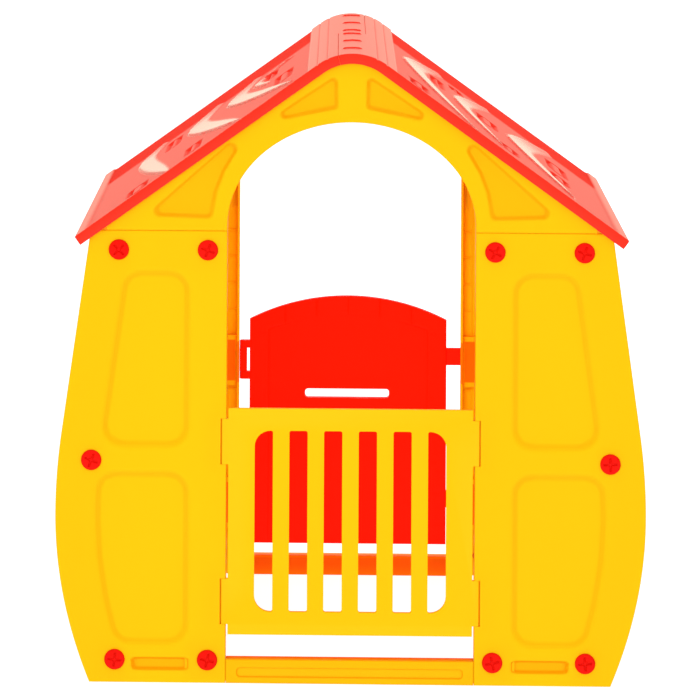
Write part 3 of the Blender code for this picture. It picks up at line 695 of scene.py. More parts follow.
def sill(name, face):
    """Threshold tray, open on its inner side, with a long sunk bar in its outer face."""
    half = OPENING - 2 * GAP
    ends = near_lines(SILL_BAR[0]) + near_lines(SILL_BAR[2]) + steps_at(WALL - half, half - WALL)
    x = lines(-half, half, 0.008, ends)[:, None]
    z = lines(0.0, SILL_TOP, 0.0014, steps_at(SILL_TOP - WALL))[None, :]
    edge = np.minimum.reduce([half - np.abs(x) + 0 * z, z + 0 * x, SILL_TOP - z + 0 * x])
    distance = sill_bar_distance(x + 0 * z, z + 0 * x)
    front = np.maximum(sink(distance, SILL_BAR_DEPTH, SILL_BAR_SOFT), edge_round(edge))
    walled = (z > SILL_TOP - WALL) | (half - np.abs(x) < WALL)
    rear = np.where(walled, SILL_DEPTH - edge_round(edge), WALL + SILL_BAR_DEPTH)
    points = [np.stack([x + 0 * d, face * (FACE_Y - d), z + 0 * d], -1) for d in (front, rear)]
    return shell(name, *points)


def build_sills():
    for prefix, face in (("front", -1), ("back", 1)):
        piece = finish(sill(prefix + "_sill_block", face), "yellow")
        # Painted shade on the sill
        paint(piece, "painted_shade", lambda at: sill_painted_shade(at[:, 0], at[:, 2]))
        # Painted red-orange light on the sill's inner side, which is seen in shade
        paint(piece, "painted_red_light", lambda at: PAINTED_RED_LIGHT_AMOUNT * (face * at[:, 1] < FACE_Y - 2 * WALL))
        place(piece, "house", "yellow_plastic", prefix + "_sill")
        low, high = TONGUE_Z
        ear = OPENING + RIM + GAP
        right = [(TONGUE_X, low), (TONGUE_X, high), (ear, high), (ear, SILL_TOP - GAP)]
        tongue = face_slab(prefix + "_sill_tongue", [right + flip(right, -1)[::-1]], face, *TONGUE, 0.0008)
        place(finish(tongue, "yellow"), "house", "yellow_plastic")


# Gate -----------------------------------------------------------------------------------------------

SLOT_COUNT = 6
SLOT_PITCH = 0.0599
SLOT_WIDTH = 0.0315
SLOT_Z = (0.124, 0.437)
SLOT_CORNER = 0.0035
GATE_CORNER = 0.0275
GATE_X = 0.211


def gate():
    """Picket gate cut from one sheet, every edge rounded, with four tabs."""
    loops = []
    for i in range(SLOT_COUNT):
        x = (i - (SLOT_COUNT - 1) / 2) * SLOT_PITCH
        corners = rectangle((x - SLOT_WIDTH / 2, SLOT_Z[0]), (x + SLOT_WIDTH / 2, SLOT_Z[1]))
        radii = [SLOT_CORNER] * 4
        if i == 0:
            radii[0] = radii[3] = GATE_CORNER
        if i == SLOT_COUNT - 1:
            radii[1] = radii[2] = GATE_CORNER
        loops.append(rounded(corners, radii))
    right = [(GATE_X, GATE_LOW.z)]
    for low, high in RECEIVER_Z:
        right += [(GATE_X, low + GAP), (GATE_HIGH.x, low + GAP)]
        right += [(GATE_HIGH.x, high - GAP), (GATE_X, high - GAP)]
    right.append((GATE_X, GATE_HIGH.z))
    outline = right + flip(right, -1)[::-1]
    thick = GATE_HIGH.y - GATE_LOW.y
    body = face_slab("front_gate_sheet", [outline] + loops, -1, 0.0, thick, 0.0009)
    return place(finish(body, "yellow"), "gate", "yellow_plastic", "front_gate")


# Door -----------------------------------------------------------------------------------------------

DOOR_CENTRE = -0.0035
DOOR_HALF = 0.1908
DOOR_Z = (0.062, 0.4965)
DOOR_RISE = 0.0458
DOOR_THICK = 0.016
DOOR_PIN = Vector((-0.2066, FACE_Y - 0.0085))
DOOR_KNUCKLE = 0.0071
HINGE_INSET = 0.002
DOOR_ARM = 0.0145
MAIL_SLOT_X = (-0.0865, 0.0765)
MAIL_SLOT_Z = (0.3450, 0.3628)
MAIL_SLOT_CORNER = 0.006
STOP_INSET = (0.031, 0.015)
DOOR_BAND = 0.036
DOOR_JOINTS = 0.0615
DOOR_SIDE_JOINTS = 0.0308
DOOR_FIRST_JOINT = 0.04
DOOR_GROOVE = 0.0009


def door_top(u):
    """Height of the door's arched top at u, measured from its middle."""
    radius = (DOOR_HALF ** 2 + DOOR_RISE ** 2) / (2 * DOOR_RISE)
    return DOOR_Z[1] + DOOR_RISE - radius + np.sqrt(radius ** 2 - u ** 2)


def door_joints():
    """Places across the door of the brick joints in its arch."""
    return [DOOR_JOINTS * (i - 2) for i in range(5)]


def door_relief(u, z, top):
    """Brick ring: a groove inside the border, brick joints across it."""
    side = DOOR_HALF - np.abs(u)
    border = np.minimum(side, top - z)
    ring = 1 - smooth_step(DOOR_BAND - GROOVE_WIDTH / 4, DOOR_BAND, border)
    depth = groove(border - DOOR_BAND, GROOVE_WIDTH, DOOR_GROOVE)
    in_arch = smooth_step(-0.001, 0.001, side - (top - z)) * ring
    for joint in door_joints():
        depth = np.maximum(depth, groove(u - joint, GROOVE_WIDTH, DOOR_GROOVE) * in_arch)
    in_jamb = (1 - in_arch) * ring
    for z_joint in np.arange(DOOR_Z[0] + DOOR_FIRST_JOINT, DOOR_Z[1], DOOR_SIDE_JOINTS):
        depth = np.maximum(depth, groove(z - z_joint, GROOVE_WIDTH, DOOR_GROOVE) * in_jamb)
    return depth


def door_sheet():
    marks = grooves_at(GROOVE_WIDTH, *door_joints(), DOOR_HALF - DOOR_BAND, DOOR_BAND - DOOR_HALF)
    u = lines(-DOOR_HALF, DOOR_HALF, 0.004, marks)[:, None]
    top = door_top(u)
    below = lines(0.0, DOOR_Z[1] - DOOR_Z[0], 0.004, grooves_at(GROOVE_WIDTH, DOOR_BAND))
    fraction = below[None, :] / below[-1]
    z = top - (top - DOOR_Z[0]) * fraction
    uu = u + 0 * z
    edge = np.minimum.reduce([DOOR_HALF - np.abs(uu), z - DOOR_Z[0], top - z])
    relief = door_relief(uu, z, top + 0 * z)
    front = GAP + np.maximum(relief, edge_round(edge))
    rear = DOOR_THICK - np.maximum(relief, edge_round(edge))
    points = [np.stack([uu + DOOR_CENTRE, FACE_Y - d, z], -1) for d in (front, rear)]
    body = shell("back_door_sheet", *points)
    slot = rounded(rectangle(*zip(MAIL_SLOT_X, MAIL_SLOT_Z)), MAIL_SLOT_CORNER)
    boolean(body, face_slab("mail_slot", [slot], 1, -WALL, DOOR_THICK + WALL), "DIFFERENCE")
    return smooth(body)


def knuckle_outline(x_end, segments=24):
    """Plan outline round the door pin, carried straight to x_end."""
    away = -1 if x_end > DOOR_PIN.x else 1
    angles = [math.pi * (i / segments - 0.5) for i in range(segments + 1)]
    points = [(DOOR_PIN.x + away * DOOR_KNUCKLE * math.cos(a), DOOR_PIN.y + DOOR_KNUCKLE * math.sin(a))
              for a in angles]
    reach = DOOR_KNUCKLE - 2 * GAP
    return points + [(x_end, DOOR_PIN.y + reach), (x_end, DOOR_PIN.y - reach)]


def plan_slab(name, loops, low, high, bevel=0.0):
    return slab(name, loops, (high - low) / 2, Matrix.Translation((0.0, 0.0, (low + high) / 2)), bevel)


def build_door():
    place(finish(door_sheet(), "red"), "door", "red_plastic", "back_door")
    for level, (low, high) in zip(("lower", "upper"), RECEIVER_Z):
        bottom = low + HINGE_INSET
        top = high - HINGE_INSET
        for word, span in (("foot", (bottom, bottom + DOOR_ARM)), ("head", (top - DOOR_ARM, top))):
            outline = knuckle_outline(DOOR_CENTRE - DOOR_HALF + WALL)
            arm = plan_slab("door_" + level + "_arm_" + word, [outline], *span, 0.001)
            place(finish(arm, "red"), "door", "red_plastic")
        tab = rectangle((DOOR_CENTRE + DOOR_HALF - WALL, low + STOP_INSET[0]),
                        (DOOR_HIGH.x, high - STOP_INSET[1]))
        stop = face_slab("door_" + level + "_stop", [tab], 1, 4 * GAP, RECEIVER_DEPTH - 4 * GAP, 0.0012)
        place(finish(stop, "red"), "door", "red_plastic")
        knuckle = plan_slab("bracket_" + level + "_knuckle", [knuckle_outline(-OPENING + 2 * GAP)],
                            bottom + DOOR_ARM + GAP, top - DOOR_ARM - GAP, 0.0006)
        plug_outline = rectangle((-RECEIVER_X + GAP, low + GAP), (-OPENING, high - GAP))
        plug = face_slab("bracket_" + level + "_plug", [plug_outline], 1,
                         2 * GAP, RECEIVER_DEPTH - GAP, 0.0012)
        place(finish(plug, "red"), "house", "red_plastic", "door_bracket_" + level)
        place(finish(knuckle, "red"), "house", "red_plastic")


# Bolts ----------------------------------------------------------------------------------------------

BOLT_RADIUS = (BOLT_HIGH.x - BOLT_LOW.x) / 2
BOLT_HEAD_HEIGHT = 0.0055
BOLT_SHANK = 0.006
CROSS_ARM = 0.0118
CROSS_WIDTH = 0.0030
CROSS_DEPTH = 0.0026
HUB_RADIUS = 0.0036
CROSS_CORNER = 0.0012
CROSS_SOFT = 0.0018
BOLT_EDGE = 0.0026
BOLT_DOME = 0.0012
BOLT_ROLL = 0.0034
BOLT_TIP = -0.018
BOLT_TURNS = {"left_outer_top": 45, "left_inner_top": 70, "right_inner_top": 60, "right_outer_top": 72,
              "left_middle": 68, "right_middle": 2, "left_outer_foot": 84, "left_inner_foot": 78,
              "right_inner_foot": 12, "right_outer_foot": 5}


def bolt_mesh():
    """Domed head with a sunk cross, turned edge and a plain shank; its axis is local Z."""
    angles = np.linspace(0.0, 2 * math.pi, 97)[:-1][:, None]
    turned = BOLT_RADIUS - BOLT_EDGE * (1 - np.sin(np.linspace(0.2, math.pi / 2, 7)))
    radii = np.concatenate([np.linspace(0.0004, BOLT_RADIUS - BOLT_EDGE, 26), turned])[None, :]
    x = radii * np.cos(angles)
    y = radii * np.sin(angles)
    drop = np.clip(radii - (BOLT_RADIUS - BOLT_EDGE), 0.0, BOLT_EDGE) / BOLT_EDGE
    height = BOLT_HEAD_HEIGHT - BOLT_DOME * (radii / BOLT_RADIUS) ** 2
    height = height - BOLT_ROLL * (1 - np.sqrt(1 - drop ** 2 * 0.999))
    arms = radii - HUB_RADIUS
    for half_x, half_y in ((CROSS_ARM, CROSS_WIDTH / 2), (CROSS_WIDTH / 2, CROSS_ARM)):
        arm = rectangle((-half_x, -half_y), (half_x, half_y))
        arms = np.minimum(arms, rounded_distance(x, y, arm, CROSS_CORNER))
    height = height - sink(arms, CROSS_DEPTH, CROSS_SOFT)
    rings = [np.stack([x, y, height + 0 * x], -1)]
    for radius, level in ((BOLT_RADIUS, 0.0), (BOLT_SHANK, 0.0), (BOLT_SHANK, BOLT_TIP + 0.0015),
                          (BOLT_SHANK - 0.0015, BOLT_TIP)):
        rings.append(np.stack([radius * np.cos(angles), radius * np.sin(angles), level + 0 * angles], -1))
    grid = np.concatenate(rings, 1)
    rows, columns = grid.shape[:2]
    index = np.arange(rows * columns).reshape(rows, columns)
    after = np.roll(index, -1, 0)
    quads = np.stack([index[:, :-1], index[:, 1:], after[:, 1:], after[:, :-1]], -1).reshape(-1, 4).tolist()
    quads.append(index[:, 0].tolist())
    quads.append(index[::-1, -1].tolist())
    obj = mesh_object("bolt", grid.reshape(-1, 3).tolist(), quads)
    work = bmesh.new()
    work.from_mesh(obj.data)
    bmesh.ops.recalc_face_normals(work, faces=work.faces)
    work.to_mesh(obj.data)
    work.free()
    smooth(obj, 50)
    mesh = obj.data
    bpy.data.objects.remove(obj)
    return mesh


def build_bolts():
    mesh = bolt_mesh()
    for node in sorted(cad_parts):
        if not node.startswith("bolt_"):
            continue
        low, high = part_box(node)
        face = -1 if node.startswith("bolt_front") else 1
        centre = ((low.x + high.x) / 2, face * (FACE_Y + GAP), (low.z + high.z) / 2)
        turn = math.radians(BOLT_TURNS[node.split("_", 2)[2]])
        piece = link(bpy.data.objects.new(node + "_head", mesh.copy()))
        piece.data.transform(Matrix.Translation(centre) @ Matrix.Rotation(-face * math.pi / 2, 4, "X")
                             @ Matrix.Rotation(turn, 4, "Z"))
        place(finish(piece, "bolt"), "house", "red_plastic", node)


# Materials ------------------------------------------------------------------------------------------

def new_material(name):
    made = bpy.data.materials.new(name)
    made.use_nodes = True
    made.node_tree.nodes.clear()
    return made, made.node_tree


def node(tree, kind, **values):
    """Adds a node and fills its inputs and settings by name; another node's output is linked."""
    made = tree.nodes.new(kind)
    for key, value in values.items():
        if isinstance(value, bpy.types.NodeSocket):
            tree.links.new(value, made.inputs[key])
        elif key in made.inputs:
            made.inputs[key].default_value = value
        else:
            setattr(made, key, value)
    return made


def object_place(tree):
    return node(tree, "ShaderNodeTexCoord").outputs["Object"]


def stored(tree, name):
    """A value painted on the mesh."""
    return node(tree, "ShaderNodeAttribute", attribute_name=name).outputs["Fac"]


def noise(tree, place_in, scale, detail, stretch=None):
    """Value noise in object space, drawn out along an axis if stretch is given."""
    if stretch:
        place_in = node(tree, "ShaderNodeMapping", Scale=stretch, Vector=place_in).outputs["Vector"]
    made = node(tree, "ShaderNodeTexNoise", Scale=scale, Detail=detail, Roughness=0.6, Vector=place_in)
    return made.outputs["Fac"]


def ranged(tree, value, low, high, out_low, out_high):
    spans = {"From Min": low, "From Max": high, "To Min": out_low, "To Max": out_high}
    return node(tree, "ShaderNodeMapRange", Value=value, **spans).outputs["Result"]


def tinted(tree, factor, first, second):
    """Colour mix; each end is a colour or another node's output."""
    ends = [(*end, 1.0) if isinstance(end, tuple) else end for end in (first, second)]
    made = node(tree, "ShaderNodeMix", data_type="RGBA", Factor=factor, A=ends[0], B=ends[1])
    return made.outputs["Result"]


def bumped(tree, height, strength, distance, **normal):
    made = node(tree, "ShaderNodeBump", Strength=strength, Distance=distance, Height=height, **normal)
    return made.outputs["Normal"]


def blended(tree, amount, first, second):
    """Mix of two shaders."""
    made = node(tree, "ShaderNodeMixShader", Fac=amount)
    tree.links.new(first, made.inputs[1])
    tree.links.new(second, made.inputs[2])
    return made.outputs["Shader"]


def scaled(colour, *amounts):
    """A colour times one amount, or times an amount for each channel."""
    return tuple(c * a for c, a in zip(colour, amounts if len(amounts) > 1 else amounts * 3))


def plastic(name, base, deep, translucent, roughness, grain, specular):
    """Moulded plastic: colour drift, painted shade in hollows and creases, painted red light, lighter
    outward edges, mould grain, scuffs and light shining through the sheet.
    """
    made, tree = new_material(name)
    place_in = object_place(tree)
    colour = tinted(tree, noise(tree, place_in, 4.0, 3.0), scaled(base, 0.97), base)
    # Painted shade in recesses, along their edges and at the sill's foot
    colour = tinted(tree, stored(tree, "painted_shade"), colour, scaled(base, 0.97, 0.66, 0.3))
    # Painted red light behind thin yellow walls and on the sills' shaded inner sides
    colour = tinted(tree, stored(tree, "painted_red_light"), colour, PAINTED_RED_LIGHT)
    pointed = node(tree, "ShaderNodeNewGeometry").outputs["Pointiness"]
    # Painted shade in concave creases
    crease_shade = ranged(tree, pointed, 0.495, 0.455, 0.0, 1.0)
    colour = tinted(tree, crease_shade, colour, scaled(base, 0.92, 0.72, 0.4))
    # Sharp outward edges drawn a little lighter
    lighter_edges = ranged(tree, pointed, 0.52, 0.60, 0.0, 0.35)
    colour = tinted(tree, lighter_edges, colour, tuple(min(1.0, b * 1.06 + 0.012) for b in base))
    wear = noise(tree, place_in, 26.0, 6.0)
    scuffs = noise(tree, place_in, 40.0, 4.0, (1.0, 1.0, 0.06))
    total = node(tree, "ShaderNodeMath", operation="ADD")
    tree.links.new(ranged(tree, wear, 0.3, 0.7, roughness - 0.05, roughness + 0.07), total.inputs[0])
    tree.links.new(ranged(tree, scuffs, 0.62, 0.72, 0.0, 0.10), total.inputs[1])
    normal = bumped(tree, noise(tree, place_in, 55.0, 2.0), grain, 0.0006)
    normal = bumped(tree, noise(tree, place_in, 900.0, 2.0), grain, 0.0003, Normal=normal)
    body = node(tree, "ShaderNodeBsdfPrincipled", Roughness=total.outputs["Value"], Normal=normal,
                **{"Specular IOR Level": specular, "Base Color": colour})
    through = node(tree, "ShaderNodeBsdfTranslucent", Color=(*deep, 1.0))
    shader = blended(tree, translucent, body.outputs["BSDF"], through.outputs["BSDF"])
    node(tree, "ShaderNodeOutputMaterial", Surface=shader)
    return made


def roof_plastic(name, base, deep, translucent):
    """Red plastic that mirrors more where the polish stored on the mesh is high."""
    made = plastic(name, base, deep, translucent, 0.42, 0.10, 0.0)
    tree = made.node_tree
    out = next(n for n in tree.nodes if n.bl_idname == "ShaderNodeOutputMaterial")
    under = out.inputs["Surface"].links[0].from_socket
    polish = stored(tree, "polish")
    amount = node(tree, "ShaderNodeMath", operation="MULTIPLY")
    tree.links.new(node(tree, "ShaderNodeFresnel", IOR=1.5).outputs["Fac"], amount.inputs[0])
    tree.links.new(ranged(tree, polish, 0.0, 1.0, 0.06, 1.0), amount.inputs[1])
    wavy = bumped(tree, noise(tree, object_place(tree), 30.0, 3.0), 0.08, 0.0010)
    gloss = node(tree, "ShaderNodeBsdfGlossy", Color=(*ROOF_SHEEN, 1.0), Normal=wavy,
                 Roughness=ranged(tree, polish, 0.0, 1.0, 0.42, 0.14))
    shader = blended(tree, amount.outputs["Value"], under, gloss.outputs["BSDF"])
    tree.links.new(shader, out.inputs["Surface"])
    return made


def metal():
    made, tree = new_material("drawn_steel")
    streak = node(tree, "ShaderNodeTexNoise", Scale=300.0, Detail=3.0, Vector=object_place(tree))
    normal = bumped(tree, streak.outputs["Fac"], 0.1, 0.0002)
    body = node(tree, "ShaderNodeBsdfPrincipled", Metallic=1.0, Roughness=0.32, Normal=normal,
                **{"Base Color": (0.56, 0.57, 0.60, 1.0)})
    node(tree, "ShaderNodeOutputMaterial", Surface=body.outputs["BSDF"])
    return made


ROOF_SHEEN = (1.0, 0.80, 0.64)
# Colour of the painted red light
PAINTED_RED_LIGHT = (1.0, 0.075, 0.0)
MATERIALS = {
    "yellow": plastic("yellow_moulded", (1.0, 0.63, 0.003), (1.0, 0.55, 0.002), 0.35, 0.42, 0.10, 0.07),
    "red": plastic("red_moulded", (1.0, 0.012, 0.001), (1.0, 0.015, 0.0), 0.20, 0.40, 0.10, 0.05),
    "bolt": plastic("red_bolt", (0.71, 0.005, 0.001), (1.0, 0.02, 0.0), 0.0, 0.36, 0.06, 0.08),
    "roof": roof_plastic("red_roof", (1.0, 0.035, 0.014), (1.0, 0.04, 0.004), 0.35),
    "steel": metal(),
}


def finish(obj, name):
    obj.data.materials.clear()
    obj.data.materials.append(MATERIALS[name])
    return obj


# Side walls and shutters ----------------------------------------------------------------------------

WINDOW_Z = 0.545
WINDOW_HALF = (0.150, 0.125)
SURROUND = 0.028
SURROUND_OUT = 0.0035
SURROUND_IN = -0.0105
SKIN = 0.003
FLANGE = 0.074
SHUTTER_GAP = 0.002
SHUTTER_IN = -0.0045
SHUTTER_FRAME = 0.022
SHUTTER_CORNER = 0.004
FIELD_CORNER = 0.008
WEB_BACK = 0.0012
WEB_FRONT = 0.0032
WEB_MARGIN = 0.003
SLAT_COUNT = 9
SLAT_SPAN = (0.12, 0.88)
SLAT_PROUD = 0.0008
SIDE_RECESS_Y = (0.212, 0.352)
SIDE_APRON = (0.170, 0.069, 0.362)


def window_frame(side):
    """Matrix of a side window: X along the wall, Y up its slope, Z outward."""
    lean = math.atan(WALL_SLOPE)
    surface = side * (float(wall_half_width(WINDOW_Z)) - RIM - GAP)
    across = Vector((0.0, side, 0.0))
    up = Vector((-side * math.sin(lean), 0.0, math.cos(lean)))
    out = Vector((side * math.cos(lean), 0.0, math.sin(lean)))
    turn = Matrix((across, up, out)).transposed().to_4x4()
    return Matrix.Translation((surface, 0.0, WINDOW_Z)) @ turn


def window_slab(name, loops, side, low, high, bevel=0.0, hand=1):
    matrix = window_frame(side) @ Matrix.Translation((0.0, 0.0, (low + high) / 2))
    matrix = matrix @ Matrix.Diagonal((hand, 1.0, 1.0, 1.0))
    return slab(name, loops, (high - low) / 2, matrix, bevel)


def side_relief(y, z):
    depth = np.zeros(np.shape(y))
    inner, outer = SIDE_RECESS_Y
    half, low, high = SIDE_APRON
    fields = [rectangle((-half, low), (half, high))]
    for low, high in (UPPER_RECESS, LOWER_RECESS):
        fields += [rectangle((inner, low), (outer, high)), rectangle((-outer, low), (-inner, high))]
    for corners in fields:
        distance = rounded_distance(y, z, corners, RECESS_RADIUS)
        depth = np.maximum(depth, sink(distance, RECESS_DEPTH, RECESS_SOFT))
    return depth


def side_wall(name):
    """Curved skin of the right side with a flange at each end, as one shell with a window cut in it."""
    end = FACE_Y - TONGUE[0]
    z = lines(0.0, SEAM_Z, 0.006)[:, None]
    y = lines(-end, end, 0.006)[None, :]
    x = wall_half_width(z) - RIM - GAP
    relief = side_relief(y + 0 * z, z + 0 * y)
    skin_out = x - np.maximum(relief, edge_round(np.minimum(end - np.abs(y), SEAM_Z - z)))
    skin_in = x - SKIN - relief
    flange = wall_half_width(z) - FLANGE

    def around(skin, inset):
        rows = len(z)
        near = np.concatenate([flange, flange + 0.001], 1)
        xs = np.concatenate([near, skin, near[:, ::-1]], 1)
        ys = np.clip(y + 0 * z, -end + inset, end - inset)
        tips = np.full((rows, 2), end - inset)
        return np.stack([xs, np.concatenate([-tips, ys, tips], 1), z + 0 * xs], -1)

    obj = shell(name, around(skin_out, 0.0), around(skin_in, SKIN))
    wide, tall = WINDOW_HALF
    margin = SURROUND / 2
    hole = rectangle((-wide - margin, -tall - margin), (wide + margin, tall + margin))
    boolean(obj, window_slab("window_cut", [hole], 1, -2 * SURROUND, SURROUND), "DIFFERENCE")
    return smooth(obj)


def shutter(name, side, end):
    """One leaf, hinged at its outer edge: framed field with louvre slats on both faces."""
    wide, tall = WINDOW_HALF
    tall -= SHUTTER_GAP
    hand = side * end
    inner = SHUTTER_GAP / 2
    outer = wide - SHUTTER_GAP
    leaf = rounded(rectangle((inner, -tall), (outer, tall)), SHUTTER_CORNER)
    field_low = (inner + SHUTTER_FRAME, -tall + SHUTTER_FRAME)
    field_high = (outer - SHUTTER_FRAME, tall - SHUTTER_FRAME)
    field = rounded(rectangle(field_low, field_high), FIELD_CORNER)
    pieces = [window_slab(name + "_frame", [leaf, field], side, SHUTTER_IN, SURROUND_OUT, 0.0016, hand)]
    web_low = SHUTTER_IN + WEB_BACK
    web_high = SURROUND_OUT - WEB_FRONT
    web = rectangle([low - WEB_MARGIN for low in field_low], [high + WEB_MARGIN for high in field_high])
    pieces.append(window_slab(name + "_web", [web], side, web_low, web_high, hand=hand))
    left = field_low[0] + WEB_MARGIN
    right = field_high[0] - WEB_MARGIN
    pitch = (field_high[1] - field_low[1]) / SLAT_COUNT
    for i in range(SLAT_COUNT):
        low, high = [field_low[1] + pitch * (i + share) for share in SLAT_SPAN]
        slat = rounded(rectangle((left, low), (right, high)), WEB_MARGIN, 4)
        pieces.append(window_slab("%s_slat_%d" % (name, i), [slat], side,
                                  web_low - SLAT_PROUD, SURROUND_OUT - SLAT_PROUD, 0.0014, hand))
    return pieces


def build_sides():
    for hand, side in (("right", 1), ("left", -1)):
        wall = side_wall("right_side_skin")
        if side < 0:
            old = wall
            wall = mirrored(old, "left_side_skin", 0)
            bpy.data.objects.remove(old)
        wall.name = hand + "_side_skin"
        place(finish(wall, "yellow"), "house", "yellow_plastic", hand + "_side_wall")
        wide, tall = WINDOW_HALF
        reach = (wide + SURROUND, tall + SURROUND)
        outer = rounded(rectangle((-reach[0], -reach[1]), reach), 0.012)
        inner = rectangle((-wide, -tall), (wide, tall))
        ring = window_slab(hand + "_window_surround", [outer, inner], side, SURROUND_IN, SURROUND_OUT, 0.002)
        place(finish(ring, "yellow"), "house", "yellow_plastic")
        for word, end in (("front", -1), ("back", 1)):
            node_name = "%s_%s_shutter" % (hand, word)
            pieces = shutter(node_name, side, end)
            for piece in pieces:
                place(finish(piece, "red"), node_name + "_leaf", "red_plastic")
            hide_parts(node_name)


# Roof -----------------------------------------------------------------------------------------------

CROWN_END = CROWN_RADIUS * ROOF_ANGLE
CROWN_EDGE = CROWN_RADIUS * math.sin(ROOF_ANGLE)
SLOPE = (EAVE_X - CROWN_EDGE) / math.cos(ROOF_ANGLE)
ROOF_END = CROWN_END + SLOPE
CROWN_BAND = 0.084
FIELD_DEPTH = 0.0030
EAVE_BORDER = 0.022
END_BORDER = 0.004
CROWN_GROOVES = (0.045, 0.065)
CROWN_BARS = (-0.337, -0.181, -0.030, 0.048, 0.216, 0.390)
BAR_HALF = (0.017, 0.0032)
BAR_HEIGHT = 0.0022
PATTERN_END = 0.225

# Crescents in plan: bend of the outer edge, tip towards the front, tip towards the back, width at the bend
CRESCENTS = {
    -1: (((-0.393, 0.09), (-0.316, -0.46), (-0.352, 0.215), 0.034),
         ((-0.302, 0.06), (-0.196, -0.41), (-0.250, 0.215), 0.043),
         ((-0.229, 0.05), (-0.105, -0.38), (-0.176, 0.205), 0.042),
         ((-0.180, 0.06), (-0.150, -0.08), (-0.108, 0.150), 0.016)),
    1: (((0.096, 0.00), (0.224, -0.44), (0.165, 0.215), 0.044),
        ((0.187, -0.06), (0.268, -0.35), (0.256, 0.200), 0.034),
        ((0.285, -0.06), (0.390, -0.36), (0.370, 0.215), 0.052)),
}
# Oval islands in plan, each with a groove round it: middle, half width and half length
OVALS = {
    -1: ((-0.377, -0.345, 0.017, 0.050), (-0.281, -0.306, 0.013, 0.060), (-0.330, 0.075, 0.012, 0.070),
         (-0.124, -0.155, 0.015, 0.075), (-0.150, 0.050, 0.009, 0.050)),
    1: ((0.119, -0.343, 0.015, 0.052), (0.158, 0.012, 0.010, 0.070), (0.196, 0.130, 0.010, 0.030),
        (0.248, -0.067, 0.018, 0.060), (0.279, -0.312, 0.014, 0.040), (0.378, 0.005, 0.018, 0.075),
        (0.375, -0.170, 0.015, 0.048)),
}
OVAL_DEPTH = 0.0052
OVAL_GROOVE = 0.0060
CROWN_POLISH = 0.48
FIELD_POLISH = 0.27

# Where the lines down the roof take over from those that fan out of the stepped ridge edge
LEAD_END = 0.0345
LEAD_LENGTH = 0.0585
CROWN_GROOVE = (0.005, 0.0013)
CROWN_GROOVE_DULL = 0.15


def roof_point(s, drop):
    """Place in XZ of a point at distance s down the roof from the ridge line, drop below its surface."""
    angle = np.minimum(s / CROWN_RADIUS, ROOF_ANGLE)
    beyond = np.maximum(0.0, s - CROWN_END)
    x = (CROWN_RADIUS - drop) * np.sin(angle) + beyond * math.cos(ROOF_ANGLE)
    z = HEIGHT - CROWN_RADIUS + (CROWN_RADIUS - drop) * np.cos(angle) - beyond * math.sin(ROOF_ANGLE)
    return x, z


def roof_reach(x):
    """Distance down the roof from the ridge line to a place x in plan."""
    on_crown = CROWN_RADIUS * np.arcsin(np.clip(x, -CROWN_EDGE, CROWN_EDGE) / CROWN_RADIUS)
    return on_crown + np.maximum(0.0, x - CROWN_EDGE) / math.cos(ROOF_ANGLE)


def crescent(x, y, bend, front, back, width):
    """A crescent's height, 1 at its steep outer edge; 1 inside it; and 1 fading to 0 towards its back."""
    there = smooth_step(front[1], front[1] + 0.004, y) * (1 - smooth_step(back[1] - 0.004, back[1], y))
    near = np.clip((bend[1] - y) / (bend[1] - front[1]), 0.0, 1.0)
    far = np.clip((y - bend[1]) / (back[1] - bend[1]), 0.0, 1.0)
    outer = bend[0] + (front[0] - bend[0]) * near ** 1.45 + (back[0] - bend[0]) * far ** 1.7
    wide = width * (1 - near ** 3) * np.sqrt(1 - far ** 2) + 0.0005
    across = (x - outer) / wide
    inside = there * smooth_step(-0.0015, 0.0, x - outer) * (1 - smooth_step(0.75, 1.0, across))
    return inside * (1 - 0.8 * np.clip(across, 0.0, 1.0)), inside, 1 - smooth_step(0.0, 0.9, far)


def oval_groove(x, y, oval):
    """A groove round an oval island: 1 along the middle of the groove, 0 away from it."""
    middle_x, middle_y, wide, long = oval
    along = np.maximum(0.0, np.abs(y - middle_y) - (long - wide))
    off = np.abs(np.hypot(x - middle_x, along) - wide * 0.72)
    return 1 - smooth_step(OVAL_GROOVE * 0.25, OVAL_GROOVE, off)


def roof_pattern(s, y, side):
    """Depth below the roof's outline, and polish, at distance s down one half; side is that half's side."""
    x = side * roof_point(s, 0.0)[0]
    y = side * y
    middle = smooth_step(CROWN_BAND, CROWN_BAND + 0.004, s)
    middle = middle * (1 - smooth_step(ROOF_END - EAVE_BORDER - 0.003, ROOF_END - EAVE_BORDER, s))
    middle = middle * smooth_step(END_BORDER, END_BORDER + 0.004, HALF_DEPTH + y)
    patterned = 1 - smooth_step(PATTERN_END - 0.05, PATTERN_END, y)
    depth = FIELD_DEPTH * middle
    polish = CROWN_POLISH - middle * (CROWN_POLISH - FIELD_POLISH * patterned)
    for shape in CRESCENTS[side]:
        height, inside, front = crescent(x, y, *shape)
        depth = depth - FIELD_DEPTH * middle * height
        polish = np.maximum(polish, inside * middle * (0.5 + 0.5 * front))
    for oval in OVALS[side]:
        sunk = oval_groove(x, y, oval)
        depth = depth + OVAL_DEPTH * sunk
        polish = polish * (1 - 0.75 * sunk)
    for place_s in CROWN_GROOVES:
        depth = np.maximum(depth, groove(np.abs(s) - place_s, *CROWN_GROOVE))
        polish = polish - groove(np.abs(s) - place_s, CROWN_GROOVE[0], CROWN_GROOVE_DULL)
    for place_y in CROWN_BARS:
        on_bar = 1 - smooth_step(BAR_HALF[0] - 0.002, BAR_HALF[0], np.abs(s))
        on_bar = on_bar * (1 - smooth_step(BAR_HALF[1] - 0.001, BAR_HALF[1], np.abs(y - place_y)))
        depth = depth - BAR_HEIGHT * on_bar
    return depth, np.clip(polish, 0.0, 1.0)


